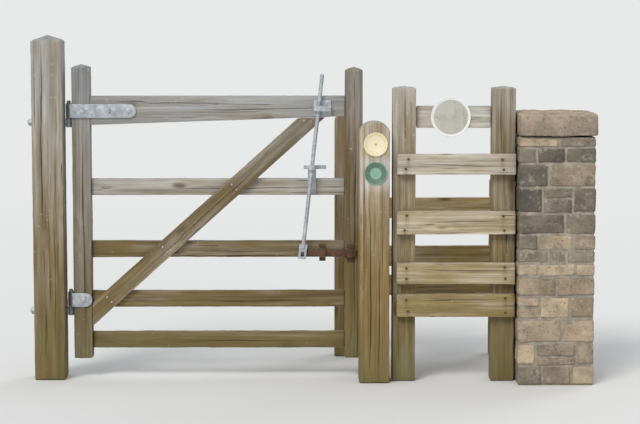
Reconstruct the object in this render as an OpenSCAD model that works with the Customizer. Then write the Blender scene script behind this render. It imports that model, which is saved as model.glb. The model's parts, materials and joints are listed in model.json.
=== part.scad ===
// Timber kissing gate beside a stone pier, in millimetres.
// +X runs along the fence line from the hanging post to the pier, +Y goes into the
// pocket behind it, and +Z is up. The origin is the centre of the hanging post's foot.

/* [Hanging post] */
// Width and depth of the square post that carries the leaf
hanging_post_w = 130; // [110:1:170]
// Height of the hanging post above the ground
hanging_post_h = 1410; // [1340:5:1600]
// Rise of its four-sided weathered top
hanging_post_point = 24; // [10:1:40]

/* [Leaf] */
// Length of the leaf, over both stiles
leaf_l = 1187; // [1100:1:1300]
// Gap between the hanging post and the leaf's heel
heel_gap = 28; // [26:1:40]
// How far the leaf's middle plane stands behind the middle of the hanging post
leaf_set_back = 25; // [15:1:30]
// Thickness of the stiles and of the top rail
stile_t = 75; // [60:1:90]
// Width of the heel stile, next to the hinges
heel_stile_w = 78; // [70:1:110]
// Width of the head stile, at the closing end
head_stile_w = 75; // [65:1:90]
// Height of the heel stile's top above the ground
heel_stile_top = 1290; // [1220:1:1320]
// Height of the head stile's top above the ground
head_stile_top = 1279; // [1210:1:1320]
// Clearance between the stiles and the ground
leaf_ground_gap = 80; // [50:5:100]
// Rise of the weathered tops of the stiles
stile_point = 12; // [5:1:25]
// Height of the top rail's upper edge above the ground
top_rail_top = 1161; // [1120:1:1180]
// Depth of the top rail at the heel
top_rail_heel_h = 121; // [100:1:130]
// Depth of the top rail at the head
top_rail_head_h = 85; // [80:1:98]
// Depth of each lower rail
rail_h = 72; // [60:1:75]
// Thickness of each lower rail
rail_t = 32; // [24:1:40]
// Gap under the top rail, measured at the head
first_rail_gap = 252; // [235:1:262]
// Each gap further down is this share of the one above
rail_gap_ratio = 0.73; // [0.65:0.01:0.76]
// Thickness of the tenons that hold the rails in the stiles
tenon_t = 22; // [14:1:24]
// How far a tenon is cut back from its rail's upper and lower edges
tenon_shoulder = 8; // [4:1:12]
// Play round a tenon in its mortise
mortise_play = 0.3; // [0.1:0.1:0.5]
// Width of the diagonal brace
brace_w = 75; // [60:1:90]
// Height at which the brace's middle line meets the heel stile
brace_foot_z = 263; // [230:1:300]
// Distance from the head stile to where that line meets the top rail
brace_head_inset = 135; // [110:1:220]

/* [Hinges] */
// Height of the upper hinge's middle above the ground
upper_hinge_z = 1100; // [1090:1:1110]
// Height of the lower hinge's middle above the ground
lower_hinge_z = 325; // [300:1:360]
// Length of the upper hinge's straps from the leaf's heel edge
upper_strap_l = 264; // [200:1:320]
// Height of the hinge straps
strap_h = 57; // [50:1:60]
// Thickness of the hinge straps
strap_t = 6; // [5:0.5:7]
// Radius of the hook's pin
pin_r = 8; // [6:0.5:9]
// Running clearance round the pin
pin_play = 0.1; // [0.05:0.01:0.1]
// Wall of the eye round the pin
eye_wall = 4.4; // [4:0.1:5]
// Radius of the hook's shank, which runs through the post
shank_r = 9; // [7:0.5:11]
// Drop from the bottom of the eye to the shank's middle
shank_drop = 20; // [18:1:30]

/* [Latch] */
// Distance of the lever's pivot from the leaf's head edge
lever_pivot_inset = 208; // [195:1:225]
// Height of the lever's pivot above the ground
lever_pivot_z = 869; // [850:1:880]
// Height of the lever's upper end above the ground
lever_top_z = 1254; // [1200:1:1290]
// Radius of the lever's rod
lever_r = 8; // [6:0.5:9]
// Lean of the lever at rest, in degrees
lever_lean = 6.3; // [3:0.1:8]
// Swing of the lever from rest, in degrees
lever_swing = 7; // [4:0.5:8]
// Distance from the leaf's near face to the lever's middle plane
lever_stand_off = 17.5; // [17:0.5:22]
// Height of the latch bolt's middle above the ground
bolt_z = 518; // [505:1:520]
// Height of the flat latch bolt
bolt_h = 28; // [22:1:30]
// Thickness of the latch bolt
bolt_t = 8; // [6:0.5:8]
// Gap between the bolt's tip and the clapping post
bolt_tip_gap = 8; // [6:0.5:15]
// Radius of the peg that the lever pushes
peg_r = 5.5; // [4:0.5:6]

/* [Clapping posts] */
// Width and depth of the round-topped near clapping post
near_post_w = 127; // [120:1:160]
// Height of the near clapping post above the ground
near_post_h = 1064; // [1040:1:1200]
// Rise of its rounded top
near_post_arch = 36; // [20:1:50]
// How far the leaf laps over each clapping post
lap = 20; // [10:1:30]
// Clearance between the leaf and each clapping post
clap_gap = 6; // [5:0.5:10]
// Swing of the leaf between the two clapping posts, in degrees
leaf_swing = 21; // [18:0.5:23]
// Width and depth of the far clapping post
far_post_w = 95; // [80:1:110]

/* [Front panel] */
// Gap between the near clapping post and the panel
panel_gap = 9; // [8:1:30]
// Width and depth of the panel's left post
panel_left_w = 97; // [80:1:110]
// Width of the panel's right post
panel_right_w = 98; // [80:1:110]
// Clear width between the panel's posts
panel_clear = 305; // [280:1:360]
// Height of the panel's posts above the ground
panel_post_h = 1204; // [1170:1:1240]
// Drop from the tops of the panel's posts to the upper edge of its top rail
panel_top_drop = 80; // [60:1:90]
// Depth of the panel's top rail
panel_top_h = 93; // [80:1:100]
// Thickness of the panel's top rail
panel_top_t = 38; // [30:1:45]
// Thickness of the boards nailed over the panel's posts
board_t = 34; // [25:1:40]
// How far the boards stop short of the left post's outer edge
board_inset = 16; // [0:1:20]
// Upper edges of the four boards above the ground
board_tops = [934, 702, 492, 364]; // [300:1:1000]
// Depths of the four boards
board_hs = [88, 98, 91, 97]; // [80:1:110]
// Diameter of the round plaque on the top rail
plaque_d = 162; // [150:1:180]
// How far the plaque sits to the left of the top rail's middle
plaque_shift = 12; // [0:1:20]
// Thickness of the plaque
plaque_t = 5; // [3:0.5:8]
// Diameter of the yellow waymark disc
yellow_disc_d = 96; // [80:1:110]
// Diameter of the green waymark disc
green_disc_d = 92; // [80:1:110]
// Thickness of the waymark discs
disc_t = 3; // [2:0.5:5]
// Height of the yellow disc's middle above the ground
yellow_disc_z = 972; // [960:1:975]
// Height of the green disc's middle above the ground
green_disc_z = 855; // [840:1:860]
// Sideways shift of both discs from the middle of the post
disc_shift = 4; // [0:1:10]

/* [Pocket] */
// Thickness of the pocket's rear and end rails
pocket_rail_t = 32; // [25:1:36]
// Depth of the pocket's rear and end rails
pocket_rail_h = 92; // [80:1:105]
// How far the rear rails lap over the far clapping post
rear_rail_lap = 42; // [30:1:44]
// Width and depth of the rear corner post
corner_post_w = 95; // [80:1:110]
// Height of the rear corner post above the ground
corner_post_h = 780; // [740:5:1000]

/* [Stone pier] */
// Width of the pier along the fence line
pier_w = 316; // [300:1:450]
// Depth of the pier across the fence line
pier_d = 360; // [300:1:400]
// Height of the pier over its cap
pier_h = 1100; // [1000:1:1200]
// Height of the cap stone
cap_h = 98; // [70:1:120]
// How far the cap stone stands proud of the shaft on its free sides
cap_overhang = 8; // [0:1:20]
// How far the pier's middle stands in front of the fence line
pier_forward = 30; // [0:1:60]

/* [Hidden] */
$fn = 96;
through = 1;                    // how far a cutter runs past the faces that it opens
seat = 0.3;                     // gap at a curved or turning seat

leaf_x0 = hanging_post_w / 2 + heel_gap;
leaf_x1 = leaf_x0 + leaf_l;
leaf_front = leaf_set_back - stile_t / 2;
leaf_back = leaf_set_back + stile_t / 2;
heel_inner = leaf_x0 + heel_stile_w;
head_inner = leaf_x1 - head_stile_w;
rail_front = leaf_set_back - rail_t / 2;
brace_t = rail_front - leaf_front;

// Upper edges of the four lower rails, each gap a fixed share of the one above it
function gap_sum(n) = n == 0 ? 0 : first_rail_gap * pow(rail_gap_ratio, n - 1) + gap_sum(n - 1);
function lower_rail_top(i) = top_rail_top - top_rail_head_h - gap_sum(i) - (i - 1) * rail_h;

// Depth of the top rail at a distance along the leaf, narrowing in a straight line
function top_rail_depth(x) =
    top_rail_heel_h + (top_rail_head_h - top_rail_heel_h) * (x - heel_inner) / (head_inner - heel_inner);

// The hinge line runs midway between the post and the strap's eye plate
eye_r = pin_r + pin_play + eye_wall;
eye_x = leaf_x0 - eye_r - 0.5;
eye_y = leaf_set_back;

// Lever, pivot and bolt
pivot_x = leaf_x1 - lever_pivot_inset;
lever_y = leaf_front - lever_stand_off;
lever_boss_r = 15;
lever_boss_l = 17;
spindle_r = 6;
spindle_head_r = 10;
sleeve_r = 11;
plate_t = 4;
bracket_t = 6;
fork_w = 32;
fork_t = 6;
bolt_clear = 1.5;
bolt_y1 = leaf_front - bolt_clear;
bolt_y0 = bolt_y1 - bolt_t;
bolt_x1 = leaf_x1 - lap - bolt_tip_gap;
peg_drop = lever_pivot_z - bolt_z;
peg_x = pivot_x - peg_drop * tan(lever_lean);
peg_reach = peg_drop / cos(lever_lean);
peg_reach_max = peg_drop / cos(lever_lean + lever_swing);
bolt_x0 = peg_x - 16;

// Near clapping post: its far face stops the leaf
near_post_x0 = leaf_x1 - lap;
near_post_x1 = near_post_x0 + near_post_w;
near_post_back = leaf_front - clap_gap;
near_post_front = near_post_back - near_post_w;
disc_x = near_post_x0 + near_post_w / 2 + disc_shift;

// Far clapping post: its near corner stops the leaf at the end of the swing
far_reach = leaf_x1 - eye_x - lap + 5;
far_offset = stile_t / 2 + clap_gap;
far_post_x0 = eye_x + far_reach * cos(leaf_swing) - far_offset * sin(leaf_swing);
far_post_y0 = eye_y + far_reach * sin(leaf_swing) + far_offset * cos(leaf_swing);

// Front panel
panel_left_x = near_post_x1 + panel_gap;
panel_left_x1 = panel_left_x + panel_left_w;
panel_right_x = panel_left_x1 + panel_clear;
panel_right_x1 = panel_right_x + panel_right_w;
panel_front = near_post_front + 50;
panel_back = panel_front + panel_left_w;
panel_mid_y = (panel_front + panel_back) / 2;
panel_top_z = panel_post_h - panel_top_drop;
board_x0 = panel_left_x + board_inset;
board_front = panel_front - board_t;
plaque_x = panel_left_x1 + panel_clear / 2 - plaque_shift;

// Pocket behind the panel
rear_rail_x0 = far_post_x0 + far_post_w - rear_rail_lap;
corner_post_x = panel_right_x + 50;
corner_post_x1 = corner_post_x + corner_post_w;
rear_rail_y = far_post_y0 - pocket_rail_t;
end_rail_x = corner_post_x + 8;

// Pier
pier_x0 = panel_right_x1;
pier_mid_y = panel_mid_y + pier_forward;
shaft_h = pier_h - cap_h;

grey_oak = [0.62, 0.58, 0.50];
brown_oak = [0.52, 0.42, 0.29];
zinc = [0.66, 0.70, 0.74];
rusty = [0.30, 0.27, 0.24];
stone = [0.60, 0.53, 0.45];

// Box given by its low corner and its size
module box_at(corner, size) {
    translate(corner) cube(size);
}

// Upright profile in X and Z, extruded along +Y from y0 by depth
module along_y(y0, depth) {
    translate([0, y0 + depth, 0]) rotate([90, 0, 0]) linear_extrude(depth) children();
}

// Square post with a low four-sided point that sheds rain
module pointed_post(x0, y0, w, d, z0, z1, rise) {
    intersection() {
        along_y(y0, d)
            polygon([[x0, z0], [x0 + w, z0], [x0 + w, z1 - rise], [x0 + w / 2, z1], [x0, z1 - rise]]);
        translate([x0, y0, 0]) rotate([90, 0, 90]) linear_extrude(w)
            polygon([[0, z0], [d, z0], [d, z1 - rise], [d / 2, z1], [0, z1 - rise]]);
    }
}

// Square post with its top rounded to a segment of a circle
module round_topped_post(x0, y0, w, h, rise) {
    arch_r = (w * w / 4 + rise * rise) / (2 * rise);
    along_y(y0, w) translate([x0, 0]) union() {
        square([w, h - rise]);
        intersection() {
            translate([0, h - rise - through]) square([w, rise + through]);
            translate([w / 2, h - arch_r]) circle(arch_r);
        }
    }
}

// Hanging post, bored through for the shanks of both hooks
module hanging_post() {
    color(grey_oak) difference() {
        pointed_post(-hanging_post_w / 2, -hanging_post_w / 2, hanging_post_w, hanging_post_w,
            0, hanging_post_h, hanging_post_point);
        shank_bore(upper_hinge_z);
        shank_bore(lower_hinge_z);
    }
}

function shank_z(hinge_z) = hinge_z - strap_h / 2 - shank_drop;

module shank_bore(hinge_z) {
    translate([-hanging_post_w / 2 - through, eye_y, shank_z(hinge_z)]) rotate([0, 90, 0])
        cylinder(r = shank_r + seat, h = hanging_post_w + 2 * through);
}

// Hook: a pin on a shank that is bolted through the post
module hinge_hook(hinge_z) {
    washer_t = 3;
    nut_h = 14;
    flange_t = 4;
    shank_end = hanging_post_w / 2 + washer_t + nut_h + 6;
    pin_base = shank_z(hinge_z);
    eye_bottom = hinge_z - strap_h / 2;
    color(zinc) union() {
        translate([-shank_end, eye_y, pin_base]) rotate([0, 90, 0])
            cylinder(r = shank_r, h = shank_end + eye_x);
        translate([-hanging_post_w / 2 - washer_t, eye_y, pin_base]) rotate([0, 90, 0])
            cylinder(r = 20, h = washer_t);
        translate([-hanging_post_w / 2 - washer_t - nut_h, eye_y, pin_base]) rotate([0, 90, 0])
            cylinder(r = 17, h = nut_h, $fn = 6);
        translate([hanging_post_w / 2, eye_y, pin_base]) rotate([0, 90, 0])
            cylinder(r = shank_drop - 5, h = flange_t);
        translate([eye_x, eye_y, pin_base - shank_r - 2])
            cylinder(r = eye_r, h = eye_bottom - seat - pin_base + shank_r + 2);
        translate([eye_x, eye_y, pin_base])
            cylinder(r = pin_r, h = shank_drop + strap_h + 12);
    }
}

// Mortise for one rail, cut right through a stile
module mortise(x0, w, z0, z1) {
    box_at([x0 - through, leaf_set_back - tenon_t / 2 - mortise_play, z0 - mortise_play],
        [w + 2 * through, tenon_t + 2 * mortise_play, z1 - z0 + 2 * mortise_play]);
}

module lower_mortises(x0, w) {
    for (i = [1:4]) {
        top = lower_rail_top(i) - tenon_shoulder;
        mortise(x0, w, top - rail_h + 2 * tenon_shoulder, top);
    }
}

module leaf_heel_stile() {
    color(grey_oak) difference() {
        pointed_post(leaf_x0, leaf_front, heel_stile_w, stile_t, leaf_ground_gap,
            heel_stile_top, stile_point);
        mortise(leaf_x0, heel_stile_w,
            top_rail_top - top_rail_depth(heel_inner) + tenon_shoulder, top_rail_top - tenon_shoulder);
        lower_mortises(leaf_x0, heel_stile_w);
    }
}

module leaf_head_stile() {
    color(grey_oak) difference() {
        pointed_post(head_inner, leaf_front, head_stile_w, stile_t, leaf_ground_gap,
            head_stile_top, stile_point);
        mortise(head_inner, head_stile_w,
            top_rail_top - top_rail_depth(head_inner) + tenon_shoulder, top_rail_top - tenon_shoulder);
        lower_mortises(head_inner, head_stile_w);
    }
}

// Top rail, flush with the stiles, its underside rising towards the head
module leaf_top_rail() {
    heel_bottom = top_rail_top - top_rail_depth(heel_inner);
    head_bottom = top_rail_top - top_rail_depth(head_inner);
    tenon_top = top_rail_top - tenon_shoulder;
    color(grey_oak) union() {
        along_y(leaf_front, stile_t) polygon([[heel_inner, heel_bottom], [head_inner, head_bottom],
            [head_inner, top_rail_top], [heel_inner, top_rail_top]]);
        box_at([leaf_x0, leaf_set_back - tenon_t / 2, heel_bottom + tenon_shoulder],
            [heel_stile_w + through, tenon_t, tenon_top - heel_bottom - tenon_shoulder]);
        box_at([head_inner - through, leaf_set_back - tenon_t / 2, head_bottom + tenon_shoulder],
            [head_stile_w + through, tenon_t, tenon_top - head_bottom - tenon_shoulder]);
    }
}

// One of the four thinner rails, counted from the upper one
module leaf_lower_rail(i) {
    top = lower_rail_top(i);
    color(grey_oak) union() {
        box_at([heel_inner, rail_front, top - rail_h], [head_inner - heel_inner, rail_t, rail_h]);
        box_at([leaf_x0, leaf_set_back - tenon_t / 2, top - rail_h + tenon_shoulder],
            [leaf_l, tenon_t, rail_h - 2 * tenon_shoulder]);
    }
}

// Brace laid on the lower rails, its ends cut to the heel stile and the top rail
module leaf_brace() {
    head_x = head_inner - brace_head_inset;
    head_z = top_rail_top - top_rail_depth(head_x);
    rise = head_z - brace_foot_z;
    run = head_x - heel_inner;
    color(grey_oak) along_y(leaf_front, brace_t) intersection() {
        translate([heel_inner, brace_foot_z]) rotate(atan2(rise, run)) translate([-brace_w, -brace_w / 2])
            square([norm([run, rise]) + 3 * brace_w, brace_w]);
        polygon([[heel_inner, leaf_ground_gap], [head_inner, leaf_ground_gap],
            [head_inner, top_rail_top - top_rail_depth(head_inner)],
            [heel_inner, top_rail_top - top_rail_depth(heel_inner)]]);
    }
}

// Hinge: two straps that clasp the stile, joined by a plate that carries the eye
module hinge_strap(hinge_z, strap_l) {
    z0 = hinge_z - strap_h / 2;
    color(zinc) difference() {
        union() {
            for (y = [leaf_front - strap_t, leaf_back]) {
                along_y(y, strap_t) translate([leaf_x0 - strap_t, z0]) union() {
                    square([strap_l + strap_t - strap_h / 2, strap_h]);
                    translate([strap_l + strap_t - strap_h / 2, strap_h / 2]) circle(strap_h / 2);
                }
            }
            box_at([leaf_x0 - strap_t, leaf_front - strap_t, z0], [strap_t, stile_t + 2 * strap_t, strap_h]);
            translate([eye_x, eye_y, z0]) cylinder(r = eye_r, h = strap_h);
        }
        translate([eye_x, eye_y, z0 - through]) cylinder(r = pin_r + pin_play, h = strap_h + 2 * through);
    }
}

// Guide on the top rail: a plate with a loop that the lever swings in
module lever_guide() {
    loop_h = 22;
    loop_t = 5;
    loop_room = 5;
    plate_z1 = top_rail_top - 17;
    plate_z0 = plate_z1 - 66;
    loop_z0 = plate_z0 + 22;
    loop_z1 = loop_z0 + loop_h;
    x_low = pivot_x + (loop_z0 - lever_pivot_z) * tan(lever_lean) - lever_r / cos(lever_lean) - loop_room;
    x_high = pivot_x + (loop_z1 - lever_pivot_z) * tan(lever_lean + lever_swing)
        + lever_r / cos(lever_lean + lever_swing) + loop_room;
    loop_front = lever_y - lever_r - loop_room - loop_t;
    color(zinc) union() {
        box_at([x_low - loop_t, leaf_front - plate_t, plate_z0],
            [x_high - x_low + 2 * loop_t, plate_t, plate_z1 - plate_z0]);
        for (x = [x_low - loop_t, x_high]) {
            box_at([x, loop_front, loop_z0], [loop_t, leaf_front - plate_t - loop_front, loop_h]);
        }
        box_at([x_low - loop_t, loop_front, loop_z0], [x_high - x_low + 2 * loop_t, loop_t, loop_h]);
    }
}

// Bracket on the second rail: a T-shaped plate with the spindle that the lever turns on
module lever_bracket() {
    stem_w = 34;
    bar_h = 16;
    bar_left = 34;
    bar_right = 58;
    stem_z0 = lower_rail_top(1) - rail_h + 8;
    sleeve_end = lever_y + lever_boss_l / 2 + seat;
    spindle_end = lever_y - lever_boss_l / 2 - seat;
    color(zinc) union() {
        box_at([pivot_x - stem_w / 2, rail_front - bracket_t, stem_z0],
            [stem_w, bracket_t, lever_pivot_z + bar_h / 2 - stem_z0]);
        box_at([pivot_x - bar_left, rail_front - bracket_t, lever_pivot_z - bar_h / 2],
            [bar_left + bar_right, bracket_t, bar_h]);
        translate([pivot_x, rail_front, lever_pivot_z]) rotate([90, 0, 0])
            cylinder(r = sleeve_r, h = rail_front - sleeve_end);
        translate([pivot_x, rail_front, lever_pivot_z]) rotate([90, 0, 0])
            cylinder(r = spindle_r, h = rail_front - spindle_end + 4);
        translate([pivot_x, spindle_end, lever_pivot_z]) rotate([90, 0, 0])
            cylinder(r = spindle_head_r, h = 5);
    }
}

// Strap bent round the bolt, with a foot above and below it on the face at y1
module bolt_guide(x, w, y1) {
    foot_h = 20;
    strap = 4;
    z0 = bolt_z - bolt_h / 2 - 1;
    z1 = bolt_z + bolt_h / 2 + 1;
    front = bolt_y0 - 1 - strap;
    box_at([x, front, z0 - strap], [w, strap, z1 - z0 + 2 * strap]);
    box_at([x, front, z1], [w, y1 - front, strap]);
    box_at([x, front, z0 - strap], [w, y1 - front, strap]);
    box_at([x, y1 - strap, z1], [w, strap, foot_h]);
    box_at([x, y1 - strap, z0 - foot_h], [w, strap, foot_h]);
}

// Two guides that hold the latch bolt: one on the third rail, one on the head stile
module bolt_guides() {
    color(rusty) union() {
        bolt_guide(pivot_x + 30, 26, rail_front);
        bolt_guide(head_inner + 10, 24, leaf_front);
    }
}

// Lever: a long rod on a boss, its lower end forked round the bolt's peg
module latch_lever() {
    rod_up = (lever_top_z - lever_pivot_z) / cos(lever_lean) - lever_r;
    rod_down = peg_reach - 24;
    slot_end = peg_reach_max + peg_r;
    slot_w = 2 * peg_r + 1;
    color(zinc) translate([pivot_x, lever_y, lever_pivot_z]) rotate([0, lever_lean, 0]) difference() {
        union() {
            translate([0, 0, -rod_down]) cylinder(r = lever_r, h = rod_up + rod_down);
            translate([0, 0, rod_up]) sphere(lever_r);
            rotate([90, 0, 0]) cylinder(r = lever_boss_r, h = lever_boss_l, center = true);
            translate([-fork_w / 2, -fork_t / 2, -slot_end - 10]) cube([fork_w, fork_t, 60]);
        }
        rotate([90, 0, 0]) cylinder(r = spindle_r + pin_play, h = lever_boss_l + 2 * through, center = true);
        translate([-slot_w / 2, -fork_t / 2 - through, -slot_end])
            cube([slot_w, fork_t + 2 * through, slot_end - peg_reach + 2 * peg_r]);
    }
}

// Flat latch bolt with the peg that the lever's fork pushes
module latch_bolt() {
    peg_l = bolt_y0 - (lever_y - fork_t / 2) + 5;
    color(rusty) union() {
        box_at([bolt_x0, bolt_y0, bolt_z - bolt_h / 2], [bolt_x1 - bolt_x0, bolt_t, bolt_h]);
        translate([peg_x, bolt_y0, bolt_z]) rotate([90, 0, 0]) cylinder(r = peg_r, h = peg_l);
    }
}

module near_clapping_post() {
    color(brown_oak)
        round_topped_post(near_post_x0, near_post_front, near_post_w, near_post_h, near_post_arch);
}

// Round disc with its back on the face at y1
module wall_disc(x, z, y1, d, t) {
    translate([x, y1, z]) rotate([90, 0, 0]) cylinder(d = d, h = t);
}

module yellow_waymark() {
    color([0.93, 0.86, 0.55])
        wall_disc(disc_x, yellow_disc_z, near_post_front, yellow_disc_d, disc_t);
}

module green_waymark() {
    color([0.12, 0.45, 0.36])
        wall_disc(disc_x, green_disc_z, near_post_front, green_disc_d, disc_t);
}

module panel_left_post() {
    color(grey_oak) pointed_post(panel_left_x, panel_front, panel_left_w, panel_left_w, 0, panel_post_h, 8);
}

module panel_right_post() {
    color(grey_oak) pointed_post(panel_right_x, panel_front, panel_right_w, panel_left_w, 0, panel_post_h, 8);
}

module panel_top_rail() {
    color(grey_oak) box_at([panel_left_x1, panel_mid_y - panel_top_t / 2, panel_top_z - panel_top_h],
        [panel_clear, panel_top_t, panel_top_h]);
}

module plaque() {
    color([0.86, 0.88, 0.87])
        wall_disc(plaque_x, panel_top_z - panel_top_h / 2, panel_mid_y - panel_top_t / 2, plaque_d, plaque_t);
}

// Board nailed over the faces of both panel posts
module panel_board(i) {
    color(grey_oak) box_at([board_x0, board_front, board_tops[i - 1] - board_hs[i - 1]],
        [panel_right_x1 - board_x0, board_t, board_hs[i - 1]]);
}

module far_clapping_post() {
    color(brown_oak)
        round_topped_post(far_post_x0, far_post_y0, far_post_w, near_post_h, near_post_arch * 0.7);
}

module rear_corner_post() {
    color(grey_oak) pointed_post(corner_post_x, far_post_y0, corner_post_w, corner_post_w, 0, corner_post_h, 8);
}

// Rear rail, level with the matching board of the front panel
module rear_rail(i) {
    color(brown_oak) box_at([rear_rail_x0, rear_rail_y, board_tops[i] - pocket_rail_h],
        [corner_post_x1 - rear_rail_x0, pocket_rail_t, pocket_rail_h]);
}

// End rail that closes the pocket between the panel's right post and the rear rails
module end_rail(i) {
    color(brown_oak) box_at([end_rail_x, panel_back, board_tops[i] - pocket_rail_h],
        [pocket_rail_t, rear_rail_y - panel_back, pocket_rail_h]);
}

module pier_shaft() {
    color(stone) box_at([pier_x0, pier_mid_y - pier_d / 2, 0], [pier_w, pier_d, shaft_h]);
}

module pier_cap() {
    color(stone) box_at([pier_x0, pier_mid_y - pier_d / 2 - cap_overhang, shaft_h],
        [pier_w + cap_overhang, pier_d + 2 * cap_overhang, cap_h]);
}

hanging_post();
hinge_hook(upper_hinge_z);  // upper_hinge_hook
hinge_hook(lower_hinge_z);  // lower_hinge_hook
leaf_heel_stile();
leaf_head_stile();
leaf_top_rail();
leaf_lower_rail(1);  // leaf_rail_2
leaf_lower_rail(2);  // leaf_rail_3
leaf_lower_rail(3);  // leaf_rail_4
leaf_lower_rail(4);  // leaf_rail_5
leaf_brace();
hinge_strap(upper_hinge_z, upper_strap_l);  // upper_hinge_strap
hinge_strap(lower_hinge_z, heel_stile_w);  // lower_hinge_strap
lever_guide();
lever_bracket();
bolt_guides();
latch_lever();
latch_bolt();
near_clapping_post();
yellow_waymark();
green_waymark();
panel_left_post();
panel_right_post();
panel_top_rail();
plaque();
panel_board(1);  // panel_board_1
panel_board(2);  // panel_board_2
panel_board(3);  // panel_board_3
panel_board(4);  // panel_board_4
far_clapping_post();
rear_corner_post();
rear_rail(1);  // rear_rail_1
rear_rail(2);  // rear_rail_2
rear_rail(3);  // rear_rail_3
end_rail(1);  // end_rail_1
end_rail(2);  // end_rail_2
end_rail(3);  // end_rail_3
pier_shaft();
pier_cap();
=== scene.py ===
# %% [markdown]
# # Timber kissing gate beside a stone pier
# A kissing gate is a short leaf that swings between two clapping posts, with a small
# railed pocket behind it, so that people can pass and cattle can't. This one is weathered
# oak with galvanised ironwork, and its panel ends against a pier of squared rubble.
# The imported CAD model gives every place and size. This lesson dresses it: each timber is
# sawn again with worn arrises and drying cracks, the pier is laid stone by stone, and each
# surface gets a procedural finish.

# %% Load the frame
import json
import math

import bmesh
import bpy
import numpy as np
from mathutils import Matrix, Vector


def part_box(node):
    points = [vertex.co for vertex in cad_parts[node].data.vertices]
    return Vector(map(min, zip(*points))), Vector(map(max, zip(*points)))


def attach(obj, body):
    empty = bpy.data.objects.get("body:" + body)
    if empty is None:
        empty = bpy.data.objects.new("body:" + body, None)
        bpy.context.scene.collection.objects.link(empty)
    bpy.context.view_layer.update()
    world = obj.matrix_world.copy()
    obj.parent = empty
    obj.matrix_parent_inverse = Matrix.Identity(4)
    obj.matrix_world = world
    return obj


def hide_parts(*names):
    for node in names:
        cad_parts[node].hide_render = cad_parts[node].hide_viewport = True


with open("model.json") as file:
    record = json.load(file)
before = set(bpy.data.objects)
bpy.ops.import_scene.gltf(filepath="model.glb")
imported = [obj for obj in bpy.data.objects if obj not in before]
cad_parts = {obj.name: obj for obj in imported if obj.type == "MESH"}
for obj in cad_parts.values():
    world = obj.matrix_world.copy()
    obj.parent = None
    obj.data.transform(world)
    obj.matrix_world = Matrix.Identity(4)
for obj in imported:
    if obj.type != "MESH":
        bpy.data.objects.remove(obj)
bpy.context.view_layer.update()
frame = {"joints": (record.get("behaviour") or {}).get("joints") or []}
MM = 0.001

# %% [markdown]
# ## Camera
# The gate is seen square on from about eight metres away, from a standing eye height that
# is a little above the top of the tall post. A long lens from that same spot keeps the
# perspective and fills the frame.

# %% Camera
EYE = Vector((1.04, -8.2, 1.52))
AIM = Vector((1.105, 0.0, 0.685))
FRAME_WIDTH = 2.62          # metres shown across the picture at the gate's distance


def put(name, data):
    """An object in the scene, at the origin."""
    thing = bpy.data.objects.new(name, data)
    bpy.context.scene.collection.objects.link(thing)
    return thing


camera = put("camera", bpy.data.cameras.new("camera"))
camera.location = EYE
camera.rotation_euler = (AIM - EYE).to_track_quat("-Z", "Y").to_euler()
camera.data.sensor_width = 36.0
camera.data.lens = camera.data.sensor_width * (AIM - EYE).length / FRAME_WIDTH
bpy.context.scene.camera = camera
print("lens", round(camera.data.lens, 1))

# %% [markdown]
# ## A small kit for node trees
# Shader trees and geometry trees are built in the same way: a node is made, its inputs
# get either a value or a link, and its output goes on. One helper does that for both, so
# that each finish further down reads like a recipe.

# %% Node helpers


def tone(red, green, blue):
    """A colour as it looks on screen, 0 to 255, turned into Blender's linear values."""
    linear = []
    for part in (red, green, blue):
        part = part / 255
        linear.append(part / 12.92 if part <= 0.04045 else ((part + 0.055) / 1.055) ** 2.4)
    return (*linear, 1.0)


def fill(tree, node, inputs):
    """Gives inputs of a node their values, or links them where the value is a socket."""
    for key, value in inputs.items():
        socket = node.inputs[key]
        if isinstance(value, bpy.types.NodeSocket):
            tree.links.new(value, socket)
        else:
            socket.default_value = value


def add(tree, kind, inputs=None, **settings):
    """A node of that kind, with its settings made and its inputs filled or linked."""
    node = tree.nodes.new(kind)
    for key, value in settings.items():
        setattr(node, key, value)
    fill(tree, node, inputs or {})
    return node


def calc(tree, operation, *values, clamp=False):
    """One step of arithmetic on numbers."""
    node = add(tree, "ShaderNodeMath", dict(enumerate(values)), operation=operation, use_clamp=clamp)
    return node.outputs[0]


def product(tree, first, *others):
    """Numbers multiplied together."""
    for other in others:
        first = calc(tree, "MULTIPLY", first, other)
    return first


def total(tree, first, *others):
    """Numbers added together."""
    for other in others:
        first = calc(tree, "ADD", first, other)
    return first


def weighted(tree, *layers):
    """Values added together, each times its own weight."""
    return total(tree, *[product(tree, value, weight) for value, weight in layers])


def combine(tree, operation, first, second):
    """One step of arithmetic on two vectors."""
    return add(tree, "ShaderNodeVectorMath", {0: first, 1: second}, operation=operation).outputs[0]


def stretch(tree, vector, factors):
    """A vector with each of its parts multiplied."""
    return combine(tree, "MULTIPLY", vector, factors)


def scaled(tree, vector, factor):
    """A vector made longer or shorter as a whole."""
    return add(tree, "ShaderNodeVectorMath", {0: vector, "Scale": factor}, operation="SCALE").outputs[0]


def length_of(tree, vector):
    """How long a vector is."""
    return add(tree, "ShaderNodeVectorMath", {0: vector}, operation="LENGTH").outputs["Value"]


def up_part(tree, vector):
    """The Z of a place or a direction."""
    return add(tree, "ShaderNodeSeparateXYZ", {0: vector}).outputs["Z"]


def spread(tree, value, low, high, to_low=0.0, to_high=1.0):
    """Maps low and high to new ends, and holds what lies beyond them."""
    node = add(tree, "ShaderNodeMapRange", {0: value, 1: low, 2: high, 3: to_low, 4: to_high})
    return node.outputs[0]


print("node helpers ready")

# %% [markdown]
# ## Noise, colours and a new finish
# Nearly every mark of age starts as soft noise. A spread of it says how strong the mark is
# at a place, and its colour is then laid over what is already there, as coats of paint
# would be.

# %% Noise and colours


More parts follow.
